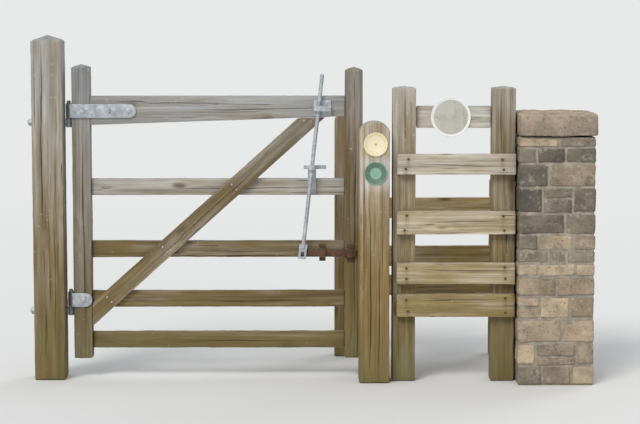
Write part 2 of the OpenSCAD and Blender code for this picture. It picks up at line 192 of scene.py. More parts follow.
def noise(tree, vector, scale=1.0, detail=2.0, roughness=0.5):
    """Soft noise from 0 to 1."""
    inputs = {"Vector": vector, "Scale": scale, "Detail": detail, "Roughness": roughness}
    return add(tree, "ShaderNodeTexNoise", inputs).outputs[0]


def grain_noise(tree, grain, along, across, detail, roughness=0.5):
    """Noise drawn out along the grain: how often it changes in a metre along and across."""
    return noise(tree, stretch(tree, grain, (along, across, across)), 1.0, detail, roughness)


def chance_of(tree, cells):
    """A number from 0 to 1 that is the same all over one cell of a Voronoi texture."""
    return add(tree, "ShaderNodeSeparateColor", {0: cells.outputs["Color"]}).outputs[0]


def blend(tree, factor, first, second, mode="MIX"):
    """Mixes two colours."""
    node = add(tree, "ShaderNodeMix", {0: factor, 6: first, 7: second}, data_type="RGBA", blend_type=mode)
    return node.outputs[2]


def coats(tree, colour, *over):
    """A colour with others laid over it in turn, each as strongly as its own value."""
    for strength, coat in over:
        colour = blend(tree, strength, colour, coat)
    return colour


def shaded(tree, colour, shade):
    """A colour multiplied by one number."""
    greys = add(tree, "ShaderNodeCombineColor", {0: shade, 1: shade, 2: shade}).outputs[0]
    return blend(tree, 1.0, colour, greys, "MULTIPLY")


def read(tree, name, output="Fac"):
    """A value stored on the mesh's own points."""
    return add(tree, "ShaderNodeAttribute", attribute_name=name).outputs[output]


def facing_up(tree):
    """How far a face looks to the sky: 1 is level, 0 upright."""
    return up_part(tree, add(tree, "ShaderNodeNewGeometry").outputs["Normal"])


def bumps(tree, height):
    """Small relief for a shader's Normal, with its height in metres."""
    return add(tree, "ShaderNodeBump", {"Height": height, "Distance": 1.0, "Strength": 1.0}).outputs[0]


def new_finish(name):
    """An empty material: its tree, its shader and its Object coordinates."""
    material = bpy.data.materials.new(name)
    material.use_nodes = True
    tree = material.node_tree
    tree.nodes.clear()
    output = add(tree, "ShaderNodeOutputMaterial")
    shader = add(tree, "ShaderNodeBsdfPrincipled")
    tree.links.new(shader.outputs[0], output.inputs["Surface"])
    place = add(tree, "ShaderNodeTexCoord").outputs["Object"]
    return material, tree, shader, place


print("finish helpers ready")

# %% [markdown]
# ## Light and floor
# The light is bright and hazy: it comes from all round, with a soft lead from high in
# front and to the left. A pale world, one wide sun and a weak one behind give that. The
# floor is a pale disc whose rim fades to the background's own colour, so that no horizon
# line crosses the picture.

# %% Light and floor
BACKGROUND = tone(232, 233, 233)
SKY_STRENGTH = 0.62
SUN_STRENGTH = 1.75
SUN_WIDTH = math.radians(24)
SUN_FROM = Vector((-0.55, -1.0, 1.05))
FILL_STRENGTH = 0.45
FILL_FROM = Vector((0.8, 1.0, 0.9))
FLOOR_RADIUS, FADE_FROM, FADE_TO = 30.0, 2.5, 9.0


def make_world():
    """Pale light from all round, with the plain background where the camera sees the sky."""
    world = bpy.data.worlds.new("pale_sky")
    world.use_nodes = True
    tree = world.node_tree
    tree.nodes.clear()
    rays = add(tree, "ShaderNodeLightPath")
    seen = calc(tree, "MAXIMUM", rays.outputs["Is Camera Ray"], rays.outputs["Is Glossy Ray"])
    seen = calc(tree, "MAXIMUM", seen, rays.outputs["Is Transmission Ray"])
    light = add(tree, "ShaderNodeBackground", {"Color": tone(240, 244, 250), "Strength": SKY_STRENGTH})
    backdrop = add(tree, "ShaderNodeBackground", {"Color": BACKGROUND, "Strength": 1.0})
    mix = add(tree, "ShaderNodeMixShader", {0: seen, 1: light.outputs[0], 2: backdrop.outputs[0]})
    add(tree, "ShaderNodeOutputWorld", {"Surface": mix.outputs[0]})
    bpy.context.scene.world = world


def make_sun(name, strength, source, colour):
    """A wide sun that shines from the given direction."""
    lamp = bpy.data.lights.new(name, "SUN")
    lamp.energy = strength
    lamp.angle = SUN_WIDTH
    lamp.color = colour
    put(name, lamp).rotation_euler = source.to_track_quat("Z", "Y").to_euler()


def make_floor():
    """A pale disc that fades into the background."""
    material, tree, shader, place = new_finish("pale_floor")
    fill(tree, shader, {"Base Color": tone(226, 226, 224), "Roughness": 0.9})
    rim = add(tree, "ShaderNodeEmission", {"Color": BACKGROUND, "Strength": 1.0})
    fade = spread(tree, length_of(tree, place), FADE_FROM, FADE_TO)
    mix = add(tree, "ShaderNodeMixShader", {0: fade, 1: shader.outputs[0], 2: rim.outputs[0]})
    output = next(node for node in tree.nodes if node.type == "OUTPUT_MATERIAL")
    tree.links.new(mix.outputs[0], output.inputs["Surface"])
    shape = bmesh.new()
    bmesh.ops.create_circle(shape, cap_ends=True, radius=FLOOR_RADIUS, segments=96)
    mesh = bpy.data.meshes.new("floor")
    shape.to_mesh(mesh)
    shape.free()
    mesh.transform(Matrix.Translation((AIM.x, 0, 0)))
    mesh.materials.append(material)
    put("floor", mesh)


make_world()
make_sun("key", SUN_STRENGTH, SUN_FROM, (1.0, 0.975, 0.94))
make_sun("fill", FILL_STRENGTH, FILL_FROM, (0.95, 0.97, 1.0))
make_floor()
bpy.context.scene.view_settings.view_transform = "Standard"
print("sky", SKY_STRENGTH, "key", SUN_STRENGTH, "fill", FILL_STRENGTH)

# %% [markdown]
# ## Weathered oak
# Oak left outdoors loses its brown: sun and rain wash the fibres silver from the top
# down, while the foot of each timber stays brown and a little green with algae. One
# shader could be mixed for each timber by hand. Instead a single recipe reads values that
# every timber carries on its points: a grain coordinate that runs along the log, how
# silver the wood has gone, how light it is, and where it has cracked or stained. The
# grain then follows each rail, post and brace, whichever way it lies, and bows round
# the knots.

# %% Colours, knots and lichen of old oak
SILVER = tone(176, 170, 160)
SILVER_COOL = tone(160, 162, 162)
BROWN = tone(136, 117, 77)
BROWN_WARM = tone(142, 117, 75)
CRACK = tone(50, 41, 29)
KNOT = tone(80, 62, 42)
LICHEN = tone(196, 198, 178)
ALGAE = tone(100, 102, 56)
RUST_RUN = tone(104, 72, 44)
WET_END = tone(70, 58, 42)
KNOT_PACKING = (5.0, 13.0, 13.0)         # cells to a metre, along and across the log
KNOT_BOW = 0.62                         # how hard the grain is pushed aside by a knot


def bowed_grain(tree, grain):
    """The grain coordinate bent round scattered knots, and a mask of the knots."""
    packed = stretch(tree, grain, KNOT_PACKING)
    cells = add(tree, "ShaderNodeTexVoronoi", {"Vector": packed, "Scale": 1.0})
    here = spread(tree, chance_of(tree, cells), 0.38, 0.42)
    distance = cells.outputs["Distance"]
    away = combine(tree, "SUBTRACT", packed, cells.outputs["Position"])
    across = stretch(tree, away, (0.0, -1 / KNOT_PACKING[1], -1 / KNOT_PACKING[2]))
    bow = product(tree, here, spread(tree, distance, 0.04, 0.42, KNOT_BOW, 0.0))
    bent = combine(tree, "ADD", grain, scaled(tree, across, bow))
    return bent, product(tree, here, spread(tree, distance, 0.08, 0.19, 1.0, 0.0))


def lichen_spots(tree, grain, upward, height):
    """Small round crusts of lichen, in clusters, thicker on upper faces and high up."""
    cells = add(tree, "ShaderNodeTexVoronoi", {"Vector": grain, "Scale": 46.0})
    ragged = spread(tree, noise(tree, grain, 330.0, 2.0, 0.6), 0.3, 0.7, -0.12, 0.12)
    distance = total(tree, cells.outputs["Distance"], ragged)
    cluster = total(tree, grain_noise(tree, grain, 4.0, 7.0, 1.0),
                    spread(tree, upward, 0.3, 0.9, 0.0, 0.14))
    return product(tree, spread(tree, distance, 0.16, 0.26, 1.0, 0.0),
                   spread(tree, chance_of(tree, cells), 0.6, 0.75),
                   spread(tree, cluster, 0.52, 0.62),
                   spread(tree, height, 0.3, 1.0, 0.15, 0.6))


print("colours of old oak ready")

# %% [markdown]
# ## The oak's shader
# Five noises run with the grain, from broad patches to single fibres. They shade the wood
# and open its small drying checks. The marks of age then go on in turn: knots, cracks,
# lichen, algae near the ground, rust below the nails, and wet end grain.

# %% Weathered oak


def weathered_oak(name, brown, algae_height):
    """Old oak whose fresher wood has the given brown. Algae climb to the given height."""
    material, tree, shader, place = new_finish(name)
    straight = read(tree, "grain", "Vector")
    grain, knot = bowed_grain(tree, straight)
    height, upward = up_part(tree, place), facing_up(tree)

    patches = grain_noise(tree, straight, 3.0, 16.0, 3.0, 0.6)
    streaks = grain_noise(tree, grain, 2.4, 75.0, 3.0, 0.6)
    bands = grain_noise(tree, grain, 1.7, 27.0, 2.0)
    fibres = grain_noise(tree, grain, 16.0, 620.0, 2.0, 0.7)
    checks = grain_noise(tree, grain, 3.2, 150.0, 2.0, 0.45)
    waves = {"Vector": stretch(tree, grain, (3.2, 42.0, 42.0)), "Scale": 1.0, "Distortion": 7.0,
             "Detail": 2.0, "Detail Scale": 0.6}
    rings = add(tree, "ShaderNodeTexWave", waves, wave_type="RINGS", rings_direction="X").outputs["Fac"]

    silver_here = total(tree, read(tree, "silver"), spread(tree, patches, 0.3, 0.7, -0.26, 0.26),
                        spread(tree, streaks, 0.3, 0.7, -0.14, 0.14),
                        spread(tree, upward, 0.2, 0.9, 0.0, 0.3))
    silver = blend(tree, spread(tree, silver_here, 0.75, 1.35), SILVER, SILVER_COOL)
    colour = blend(tree, spread(tree, silver_here, 0.0, 1.0), brown, silver)
    shade = product(tree, spread(tree, streaks, 0.25, 0.75, 0.7, 1.26),
                    spread(tree, bands, 0.3, 0.7, 0.84, 1.15),
                    spread(tree, patches, 0.3, 0.7, 0.9, 1.1),
                    spread(tree, fibres, 0.25, 0.75, 0.88, 1.12),
                    spread(tree, rings, 0.0, 1.0, 0.93, 1.06), read(tree, "light"))

    check = product(tree, spread(tree, checks, 0.655, 0.70), spread(tree, patches, 0.42, 0.56))
    cracked = calc(tree, "MAXIMUM", product(tree, check, 0.8), read(tree, "crack"), clamp=True)
    lichen = lichen_spots(tree, straight, upward, height)
    green = product(tree, spread(tree, height, 0.02, algae_height, 1.0, 0.0),
                    spread(tree, patches, 0.36, 0.62, 0.1, 0.6))
    colour = coats(tree, shaded(tree, colour, shade), (product(tree, knot, 0.7), KNOT), (cracked, CRACK),
                   (lichen, LICHEN), (green, ALGAE), (product(tree, read(tree, "stain"), 0.7), RUST_RUN),
                   (product(tree, read(tree, "damp"), 0.5), WET_END))
    relief = weighted(tree, (fibres, 0.0006), (streaks, 0.0014), (check, -0.0016), (lichen, 0.0007))
    fill(tree, shader, {"Base Color": colour, "Roughness": spread(tree, fibres, 0.3, 0.7, 0.8, 0.95),
                        "Specular IOR Level": 0.28, "Normal": bumps(tree, relief)})
    return material


oaks = {
    "grey_timber": weathered_oak("old_oak_gate", BROWN, 0.34),
    "leaf_timber": weathered_oak("old_oak_rails", BROWN, 0.30),
    "brown_timber": weathered_oak("old_oak_clapping_posts", BROWN_WARM, 0.30),
    "panel_timber": weathered_oak("old_oak_panel", BROWN, 0.36),
}
print("timber finishes", len(oaks))

# %% [markdown]
# ## Sawing a timber
# A cube with a bevel would look new. An old timber has a section with rounded arrises
# that runs along a log, cracks that follow the grain, and ends that shed rain. So each
# timber is drawn as rings of points round its section, many along its length. Its
# ends are functions of the place in the section, which covers square cuts, pointed posts,
# the round-topped clapping posts and the slanted cuts of the brace. A crack is a set of
# three columns of points whose middle one is marked, to be sunk later.

# %% The section of a timber
CRACK_HALF = 2.4 * MM
WANDER = 3.2 * MM           # how far a sawn face drifts from the straight
END_ROUND = 4.0 * MM
CORNER_ANGLES = [math.radians(a) for a in (22.5, 45.0, 67.5)]
CAP_SHARES = (0.82, 0.6, 0.36, 0.14)    # sizes of the rings that close an end


def section_columns(width, thick, arris, step, cracks):
    """Points round the section: two shares each of flat and of arris, across and through."""
    columns = []
    for side in range(4):
        flat = (thick if side % 2 == 0 else width) / 2 - arris
        count = max(2, math.ceil(2 * flat / step))
        stops = {place: -1 for place in np.linspace(-1, 1, count + 1)}
        for number, crack in enumerate(cracks):
            if crack["side"] != side:
                continue
            half = CRACK_HALF / flat
            near = [s for s in stops if abs(s - crack["at"]) < 1.6 * half and abs(s) < 1]
            for stop in near:
                del stops[stop]
            stops[crack["at"] - half] = -1
            stops[crack["at"]] = number
            stops[crack["at"] + half] = -1
        rows = [(1, 1, stop, 0, stop, stops[stop], (1 - abs(stop)) * flat) for stop in sorted(stops)]
        rows += [(1, math.cos(a), 1, math.sin(a), None, -1, 0.0) for a in CORNER_ANGLES]
        for a, b, c, d, stop, number, far in rows:
            for _ in range(side):
                a, b, c, d = -c, -d, a, b
            columns.append({"flat": (a, c), "round": (b, d), "stop": stop, "side": side,
                            "crack": number, "far": far})
    return columns


def wander(distance, seed):
    """A slow drift of the grain from side to side, as a few waves added together."""
    draw = np.random.default_rng(seed)
    drift = np.zeros_like(distance)
    for wave in (0.9, 0.37, 0.15):
        drift += wave * np.sin(2 * math.pi * distance / wave + draw.uniform(0, 2 * math.pi))
    return drift * WANDER


print("sections ready")

# %% [markdown]
# ## Rings, cracks and faces
# The rings of the section are set out along the timber, close together near its ends,
# where the edges are rounded. Faces join each ring to the next, and a fan of faces closes
# each end.

# %% Rings, cracks and faces
EDGE_FADE = 7 * MM          # how far from an arris the wear reaches
DAMP_FADE = 30 * MM         # how far wet end grain reaches along


def stations(length, step):
    """Where the rings lie along a timber, and how far each is drawn in to round the ends."""
    inner = np.linspace(0, 1, max(3, math.ceil(length / (step * 1.15))) + 1)[1:-1] * length
    rings = [(0.0, END_ROUND), (0.3 * END_ROUND, 0.3 * END_ROUND), (END_ROUND, 0.0)]
    rings += [(u, 0.0) for u in inner if END_ROUND * 2 < u < length - END_ROUND * 2]
    rings += [(length - u, shrink) for u, shrink in rings[2::-1]]
    along = np.array([ring[0] for ring in rings])
    shrink = np.array([ring[1] for ring in rings])[:, None]
    return along, shrink


def crack_marks(u, columns, cracks):
    """How deep the crack at each point is, 1 at most. It fades out towards the crack's ends."""
    marks = np.zeros_like(u)
    for number, crack in enumerate(cracks):
        here = np.array([k["crack"] == number for k in columns])
        fade = 0.25 * (crack["to"] - crack["from"])
        ends = np.clip(np.minimum(u - crack["from"], crack["to"] - u) / fade, 0, 1)
        marks = np.where(here, ends * crack["deep"], marks)
    return marks


def to_ends(u):
    """How near each point lies to either end, as a damp shade that fades inwards."""
    return np.exp(-np.minimum(u - u.min(), u.max() - u) / DAMP_FADE)


def ring_to_ring(one, two, columns, flip=False):
    """Faces between two rings of points that start at the given numbers."""
    faces = []
    for k in range(columns):
        n = (k + 1) % columns
        face = (one + k, one + n, two + n, two + k)
        faces.append(face[::-1] if flip else face)
    return faces


def fan(ring, centre, columns, flip):
    """Faces between a ring of points and its middle point."""
    faces = []
    for k in range(columns):
        face = (ring + k, ring + (k + 1) % columns, centre)
        faces.append(face[::-1] if flip else face)
    return faces


print("rings ready")

# %% [markdown]
# ## The sawn length
# A sawn length is a set of arrays. Its ends are closed by smaller rings and one middle
# point, which follow the cut. Every point also keeps where it lies along the grain, how
# near it is to an arris, and whether it is in a crack.

# %% Sawing a length


def saw(axes, length, width, thick, seed, arris=4 * MM, step=9 * MM, start=None, end=None, taper=None,
        cracks=()):
    """One timber as arrays of points, faces and point values, in the part's own frame.

    axes holds the origin and the along, across and through directions. start and end give
    where a column begins and ends, from its place in the section. taper gives the lower
    and upper edge of the section at a distance along."""
    start = start or (lambda v, w: v * 0)
    end = end or (lambda v, w: v * 0 + length)
    columns = section_columns(width, thick, arris, step, cracks)
    a, c = np.array([k["flat"] for k in columns]).T
    b, d = np.array([k["round"] for k in columns]).T
    along, shrink = stations(length, step)
    low, high = taper(along) if taper else (along * 0 - width / 2, along * 0 + width / 2)
    middle, half = ((high + low) / 2)[:, None], ((high - low) / 2)[:, None] - shrink
    v = middle + a * (half - arris) + b * arris
    w = c * (thick / 2 - shrink - arris) + d * arris
    for side in range(4):
        on_side = np.array([k["side"] == side and k["stop"] is not None for k in columns])
        slack = np.array([1 - (k["stop"] or 0) ** 2 for k in columns]) * on_side
        drift = wander(along, seed * 7 + side)[:, None] * slack
        if side % 2 == 0:
            w = w + drift * (1 if side == 0 else -1)
        else:
            v = v + drift * (-1 if side == 1 else 1)
    first, last = start(v, w), end(v, w)
    share = (along / length)[:, None]
    u = first + share * (last - first)

    crack = crack_marks(u, columns, cracks)
    far = np.array([k["far"] for k in columns])
    to_end = np.minimum(u - first, last - u)
    edge = np.exp(-np.minimum(far + u * 0, to_end) / EDGE_FADE)
    points = [(u, v, w, edge, crack)]
    round_count = len(columns)
    faces = []
    for ring in range(len(along) - 1):
        faces += ring_to_ring(ring * round_count, (ring + 1) * round_count, round_count)
    point_count = u.size
    for ring, cut, flip in ((0, start, True), (len(along) - 1, end, False)):
        ring_first = ring * round_count
        for share in CAP_SHARES:
            cv = middle[ring] + (v[ring] - middle[ring]) * share
            cw = w[ring] * share
            points.append((cut(cv, cw), cv, cw, cv * 0 + 0.2, cv * 0))
            faces += ring_to_ring(ring_first, point_count, round_count, flip)
            ring_first = point_count
            point_count += round_count
        cv, cw = np.array([middle[ring][0]]), np.array([0.0])
        points.append((cut(cv, cw), cv, cw, cv * 0, cv * 0))
        faces += fan(ring_first, point_count, round_count, flip)
        point_count += 1
    u, v, w, edge, crack = (np.concatenate([p[k].ravel() for p in points]) for k in range(5))
    origin, x_dir, y_dir, z_dir = (np.array(vector, float) for vector in axes)
    place = origin + u[:, None] * x_dir + v[:, None] * y_dir + w[:, None] * z_dir
    shift = np.random.default_rng(seed).uniform(-20, 20, 3)
    grain = np.stack([u + shift[0], v + shift[1] * 0.05, w + shift[2] * 0.05], axis=1)
    return {"place": place, "faces": faces, "grain": grain, "edge": edge, "crack": crack,
            "ends": to_ends(u)}


print("saw ready")

# %% [markdown]
# ## Weathering a timber
# Rain wears soft wood faster than hard, so an old face is ribbed along its grain, its
# arrises are eaten in places, and its cracks open. That could be sculpted by hand for
# each timber. A Geometry Nodes tree does it for all of them from the same rule: it
# pushes each point inwards along its normal, by noise that is stretched along the grain.
# Pushing inwards only keeps every timber inside the size that its joints need.

# %% Weathering tree


def new_tree(name, sizes, counts=()):
    """A geometry tree with inputs for sizes, counts and a material: tree, inputs and output."""
    tree = bpy.data.node_groups.new(name, "GeometryNodeTree")
    tree.interface.new_socket("Geometry", in_out="OUTPUT", socket_type="NodeSocketGeometry")
    kinds = {"Geometry": "Geometry"}
    kinds.update({size: "Float" for size in sizes})
    kinds.update({count: "Int" for count in counts})
    kinds["Material"] = "Material"
    for socket, kind in kinds.items():
        tree.interface.new_socket(socket, in_out="INPUT", socket_type="NodeSocket" + kind)
    return tree, tree.nodes.new("NodeGroupInput").outputs, tree.nodes.new("NodeGroupOutput")


def field(tree, name, data_type="FLOAT"):
    """A value that the mesh carries, read inside a geometry tree."""
    node = add(tree, "GeometryNodeInputNamedAttribute", {"Name": name}, data_type=data_type)
    return node.outputs["Attribute"]


def close_tree(tree, geometry, material, output):
    """Ends every tree: instances become real, and the material goes on."""
    real = add(tree, "GeometryNodeRealizeInstances", {"Geometry": geometry}).outputs[0]
    done = add(tree, "GeometryNodeSetMaterial", {"Geometry": real, "Material": material}).outputs[0]
    tree.links.new(done, output.inputs[0])


def smoothed(tree, geometry):
    """The same shape, shaded smooth."""
    return add(tree, "GeometryNodeSetShadeSmooth", {"Geometry": geometry, "Shade Smooth": True}).outputs[0]


def push_in(tree, geometry, depth):
    """Moves every point inwards along its normal."""
    normal = tree.nodes.new("GeometryNodeInputNormal").outputs[0]
    offset = scaled(tree, normal, product(tree, depth, -1.0))
    return add(tree, "GeometryNodeSetPosition", {"Geometry": geometry, "Offset": offset}).outputs[0]


def weathering_tree():
    """Ribs, slow waves, worn arrises and open cracks, all cut inwards."""
    tree, given, output = new_tree("weathering", ("Ribs", "Waves", "Worn Arris", "Crack Depth"))
    grain = field(tree, "grain", "FLOAT_VECTOR")
    ribs = grain_noise(tree, grain, 5.0, 52.0, 1.0)
    waves = grain_noise(tree, grain, 3.0, 9.0, 1.0)
    chips = grain_noise(tree, grain, 13.0, 40.0, 3.0, 0.6)
    gape = grain_noise(tree, grain, 22.0, 3.0, 1.0)
    wear = product(tree, field(tree, "edge"), spread(tree, chips, 0.35, 0.75, 0.15, 1.0))
    opening = product(tree, field(tree, "crack"), spread(tree, gape, 0.3, 0.6, 0.35, 1.0))
    depth = weighted(tree, (ribs, given["Ribs"]), (waves, given["Waves"]), (wear, given["Worn Arris"]),
                     (opening, given["Crack Depth"]))
    close_tree(tree, push_in(tree, given["Geometry"], depth), given["Material"], output)
    return tree


def run_tree(piece, tree, **values):
    """Puts a tree on a piece, sets its inputs, and keeps the result as a plain mesh."""
    modifier = piece.modifiers.new(tree.name, "NODES")
    modifier.node_group = tree
    for item in tree.interface.items_tree:
        key = item.name.replace(" ", "_").lower()
        if item.in_out == "INPUT" and key in values:
            modifier[item.identifier] = values[key]
    graph = bpy.context.evaluated_depsgraph_get()
    mesh = bpy.data.meshes.new_from_object(piece.evaluated_get(graph), preserve_all_data_layers=True,
                                           depsgraph=graph)
    piece.modifiers.remove(modifier)
    old = piece.data
    piece.data = mesh
    mesh.name = piece.name
    bpy.data.meshes.remove(old)
    return piece


weather = weathering_tree()
print("weathering tree has", len(weather.nodes), "nodes")

# %% [markdown]
# ## From sawn arrays to a piece
# Each timber piece joins one or more sawn lengths, so that a rail can carry its tenons.
# Its silvering rises with height, as the sun and rain reach the top of a gate first. Its
# lightness is a value of its own, low down and high up, because no two timbers weather
# alike. For a few timbers it also holds painted light or painted shade.

# %% Timber pieces
SILVER_FROM, SILVER_TO = 0.25, 1.2      # heights between which brown turns to silver
SILVER_CURVE = 1.4                      # above one, most of the turn happens high up
BLEACH_LIGHTENS = 0.22                  # how much lighter fully bleached wood is
RUN_LENGTH, RUN_ABOVE, RUN_HALF = 38 * MM, 6 * MM, 8 * MM       # reach of a nail's rust


def store(mesh, name, values):
    """Keeps a number, or a vector, for every point of a mesh."""
    values = np.array(values, float)
    kind, key = ("FLOAT_VECTOR", "vector") if values.ndim == 2 else ("FLOAT", "value")
    mesh.attributes.new(name, kind, "POINT").data.foreach_set(key, values.ravel())


def mesh_piece(name, places, faces):
    """An object from points and faces, with the faces turned outwards."""
    mesh = bpy.data.meshes.new(name)
    mesh.from_pydata([tuple(p) for p in places], [], faces)
    shape = bmesh.new()
    shape.from_mesh(mesh)
    bmesh.ops.recalc_face_normals(shape, faces=shape.faces)
    shape.to_mesh(mesh)
    shape.free()
    mesh.shade_smooth()
    return put(name, mesh)


def belongs(piece, body, slot, *nodes):
    """Ties a piece to its body and to the CAD nodes that it stands for. Its material slot is not used."""
    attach(piece, body)
    if nodes:
        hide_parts(*nodes)


def timber(name, lengths, slot, body="gateway", silver=(0.1, 0.9), light=(1.0, 1.0), damp=0.35, nails=(),
           ribs=1.1 * MM, waves=1.5 * MM, worn=3.2 * MM, crack_depth=9 * MM, bleach=None):
    """A dressed timber that stands for the CAD node of the same name."""
    joined = {key: np.concatenate([part[key] for part in lengths])
              for key in ("place", "grain", "edge", "crack", "ends")}
    places = joined["place"]
    faces, first = [], 0
    for part in lengths:
        faces += [tuple(first + k for k in face) for face in part["faces"]]
        first += len(part["place"])
    piece = mesh_piece(name + "_oak", places, faces)
    rise = np.clip((places[:, 2] - SILVER_FROM) / (SILVER_TO - SILVER_FROM), 0, 1)
    silvering = silver[0] + (silver[1] - silver[0]) * rise ** SILVER_CURVE
    # For a few timbers this lightness also holds painted light or painted shade.
    lightness = light[0] + (light[1] - light[0]) * rise
    if bleach is not None:
        patch = bleach(places)
        silvering = silvering + patch
        lightness = lightness * (1 + BLEACH_LIGHTENS * patch)
    values = {"grain": joined["grain"], "edge": joined["edge"], "crack": joined["crack"],
              "damp": joined["ends"] * damp, "silver": silvering, "light": lightness,
              "stain": stains(places, nails)}
    for key, numbers in values.items():
        store(piece.data, key, numbers)
    run_tree(piece, weather, ribs=ribs, waves=waves, worn_arris=worn, crack_depth=crack_depth,
             material=oaks[slot])
    belongs(piece, body, slot, name)


def stains(places, nails):
    """Rust that has run down from each nail: narrow, and longer below the head."""
    amount = np.zeros(len(places))
    draw = np.random.default_rng(41)
    for nail in nails:
        aside = np.abs(places[:, 0] - nail[0]) + np.abs(places[:, 1] - nail[1]) * 0.5
        down = nail[2] - places[:, 2]
        run = np.where(down > 0, np.exp(-down / RUN_LENGTH), np.exp(down / RUN_ABOVE))
        amount = np.maximum(amount, draw.uniform(0.35, 1.0) * np.exp(-(aside / RUN_HALF) ** 2) * run)
    return amount


print("timber pieces ready")

# %% [markdown]
# ## Where a timber lies
# A straight timber is its CAD box: the box gives its place, its length and its section,
# and only the direction has to be said. A pointed top is a height that falls with the
# distance from the post's middle line.

# %% Axes and tops


def box_axes(node, along):
    """Axes and sizes of a straight timber from its CAD box, with along as X, Y or Z."""
    low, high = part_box(node)
    size, middle = high - low, (low + high) / 2
    turns = {"X": (0, 2, 1, -1), "Y": (1, 2, 0, 1), "Z": (2, 0, 1, 1)}
    u, v, w, sign = turns[along]
    x_dir, y_dir, z_dir = Vector(), Vector(), Vector()
    x_dir[u], y_dir[v], z_dir[w] = 1, 1, sign
    origin = middle.copy()
    origin[u] = low[u]
    return (origin, x_dir, y_dir, z_dir), size[u], size[v], size[w]


def pointed(height, width, thick, rise):
    """The top of a post that is cut to a low point on all four sides."""
    return lambda v, w: height - rise * np.maximum(np.abs(v) / (width / 2), np.abs(w) / (thick / 2))


def arched(height, width, rise):
    """The top of a post that is rounded to an arc, seen from the front."""
    radius = (width * width / 4 + rise * rise) / (2 * rise)
    return lambda v, w: height - radius + np.sqrt(np.maximum(radius * radius - v * v, 0))


print("axes ready")

# %% [markdown]
# ## The posts
# The hanging post carries the leaf's weight and stands tallest. The two clapping posts
# have tops rounded to an arc, and the near one, which people handle, has split deeply
# down its face. The cracks are listed by side, place and length: side 3 is the front.

# %% Hanging post and panel posts
HANGING_POINT, STILE_POINT, PANEL_POINT = 24 * MM, 12 * MM, 8 * MM
NEAR_ARCH, FAR_ARCH = 36 * MM, 25.2 * MM


def split(side, at, start, end, deep=1.0):
    """A drying crack: the side that it is on, its place across it, and where it runs."""
    return {"side": side, "at": at, "from": start, "to": end, "deep": deep}


def post(node, slot, rise, seed, cracks, arch=False, **finish):
    """A post from its CAD box, with a pointed or an arched top."""
    axes, height, width, thick = box_axes(node, "Z")
    top = arched(height, width, rise) if arch else pointed(height, width, thick, rise)
    sawn = saw(axes, height, width, thick, seed, arris=5 * MM, end=top, cracks=cracks)
    timber(node, [sawn], slot, **finish)


post("hanging_post", "grey_timber", HANGING_POINT, 11, silver=(-0.06, 0.94), light=(0.82, 0.95), damp=0.2,
     waves=2.2 * MM, worn=4.5 * MM,
     cracks=[split(3, -0.35, 0.62, 1.37), split(3, 0.42, 0.1, 0.7, 0.7), split(0, 0.2, 0.5, 1.3, 0.8),
             split(2, 0.1, 0.3, 1.2), split(1, -0.2, 0.4, 1.36)])
post("panel_left_post", "panel_timber", PANEL_POINT, 12, silver=(0.05, 0.76), light=(0.88, 1.12),
     damp=0.2,
     cracks=[split(3, 0.15, 0.95, 1.18, 0.8), split(2, -0.1, 0.4, 1.1), split(1, 0.3, 0.3, 1.15)])
post("panel_right_post", "panel_timber", PANEL_POINT, 13, silver=(0.0, 0.6), light=(0.82, 0.96),
     damp=0.2, cracks=[split(3, -0.3, 0.93, 1.18, 0.9), split(1, 0.1, 0.35, 1.1)])
post("rear_corner_post", "panel_timber", PANEL_POINT, 14, silver=(0.0, 0.55), light=(0.9, 1.0),
     damp=0.2, cracks=[split(1, -0.1, 0.2, 0.75)])
print("pointed posts made")

# %% [markdown]
# ## The clapping posts
# The near clapping post shows bleached wood round its lower waymark disc, where an older,
# larger plate once kept the weather off.

# %% Clapping posts
PATCH_HALF_WIDTH, PATCH_HALF_HEIGHT, PATCH_SILVER = 62 * MM, 66 * MM, 0.45
PATCH_RIGHT, PATCH_DOWN = 4 * MM, 2 * MM        # its middle, seen from the disc's
green_low, green_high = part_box("green_waymark")
green_middle = (green_low + green_high) / 2


def bleached_patch(places):
    """How bleached the wood is: a patch round the lower disc, with a soft, uneven edge."""
    across = np.abs(places[:, 0] - green_middle.x - PATCH_RIGHT) / PATCH_HALF_WIDTH
    up = np.abs(places[:, 2] - green_middle.z + PATCH_DOWN) / PATCH_HALF_HEIGHT
    uneven = 0.06 * np.sin(places[:, 0] / (5 * MM)) + 0.05 * np.sin(places[:, 0] / (2.1 * MM))
    inside = np.clip((1.25 - np.maximum(across, up) + uneven) / 0.5, 0, 1)
    return PATCH_SILVER * inside * (places[:, 1] < green_high.y + 12 * MM)


near_cracks = [split(3, -0.28, 0.02, 0.78), split(3, 0.32, 0.0, 0.55, 0.7),
               split(3, -0.72, 0.3, 0.9, 0.5), split(2, 0.2, 0.2, 0.95),
               split(1, -0.1, 0.25, 1.0), split(0, 0.3, 0.1, 0.8)]
post("near_clapping_post", "brown_timber", NEAR_ARCH, 15, near_cracks, arch=True,
     silver=(-0.05, 0.72), light=(0.86, 1.28), damp=0.2, waves=2.4 * MM, worn=4.5 * MM,
     crack_depth=14 * MM, bleach=bleached_patch)
post("far_clapping_post", "brown_timber", FAR_ARCH, 16, arch=True, silver=(0.0, 0.6),
     light=(0.8, 0.95), damp=0.2, cracks=[split(3, 0.2, 0.1, 0.8), split(1, -0.3, 0.3, 0.9)])
print("clapping posts made")

# %% [markdown]
# ## The leaf
# Five rails are tenoned through two stiles, and a brace runs up from the hinge side to
# stop the leaf from sagging. The top rail is as thick as the stiles and narrows towards
# its head. The lower rails are thin, so the brace lies over them. Each tenon ends flush
# in the stile's outer edge, where its end grain shows.

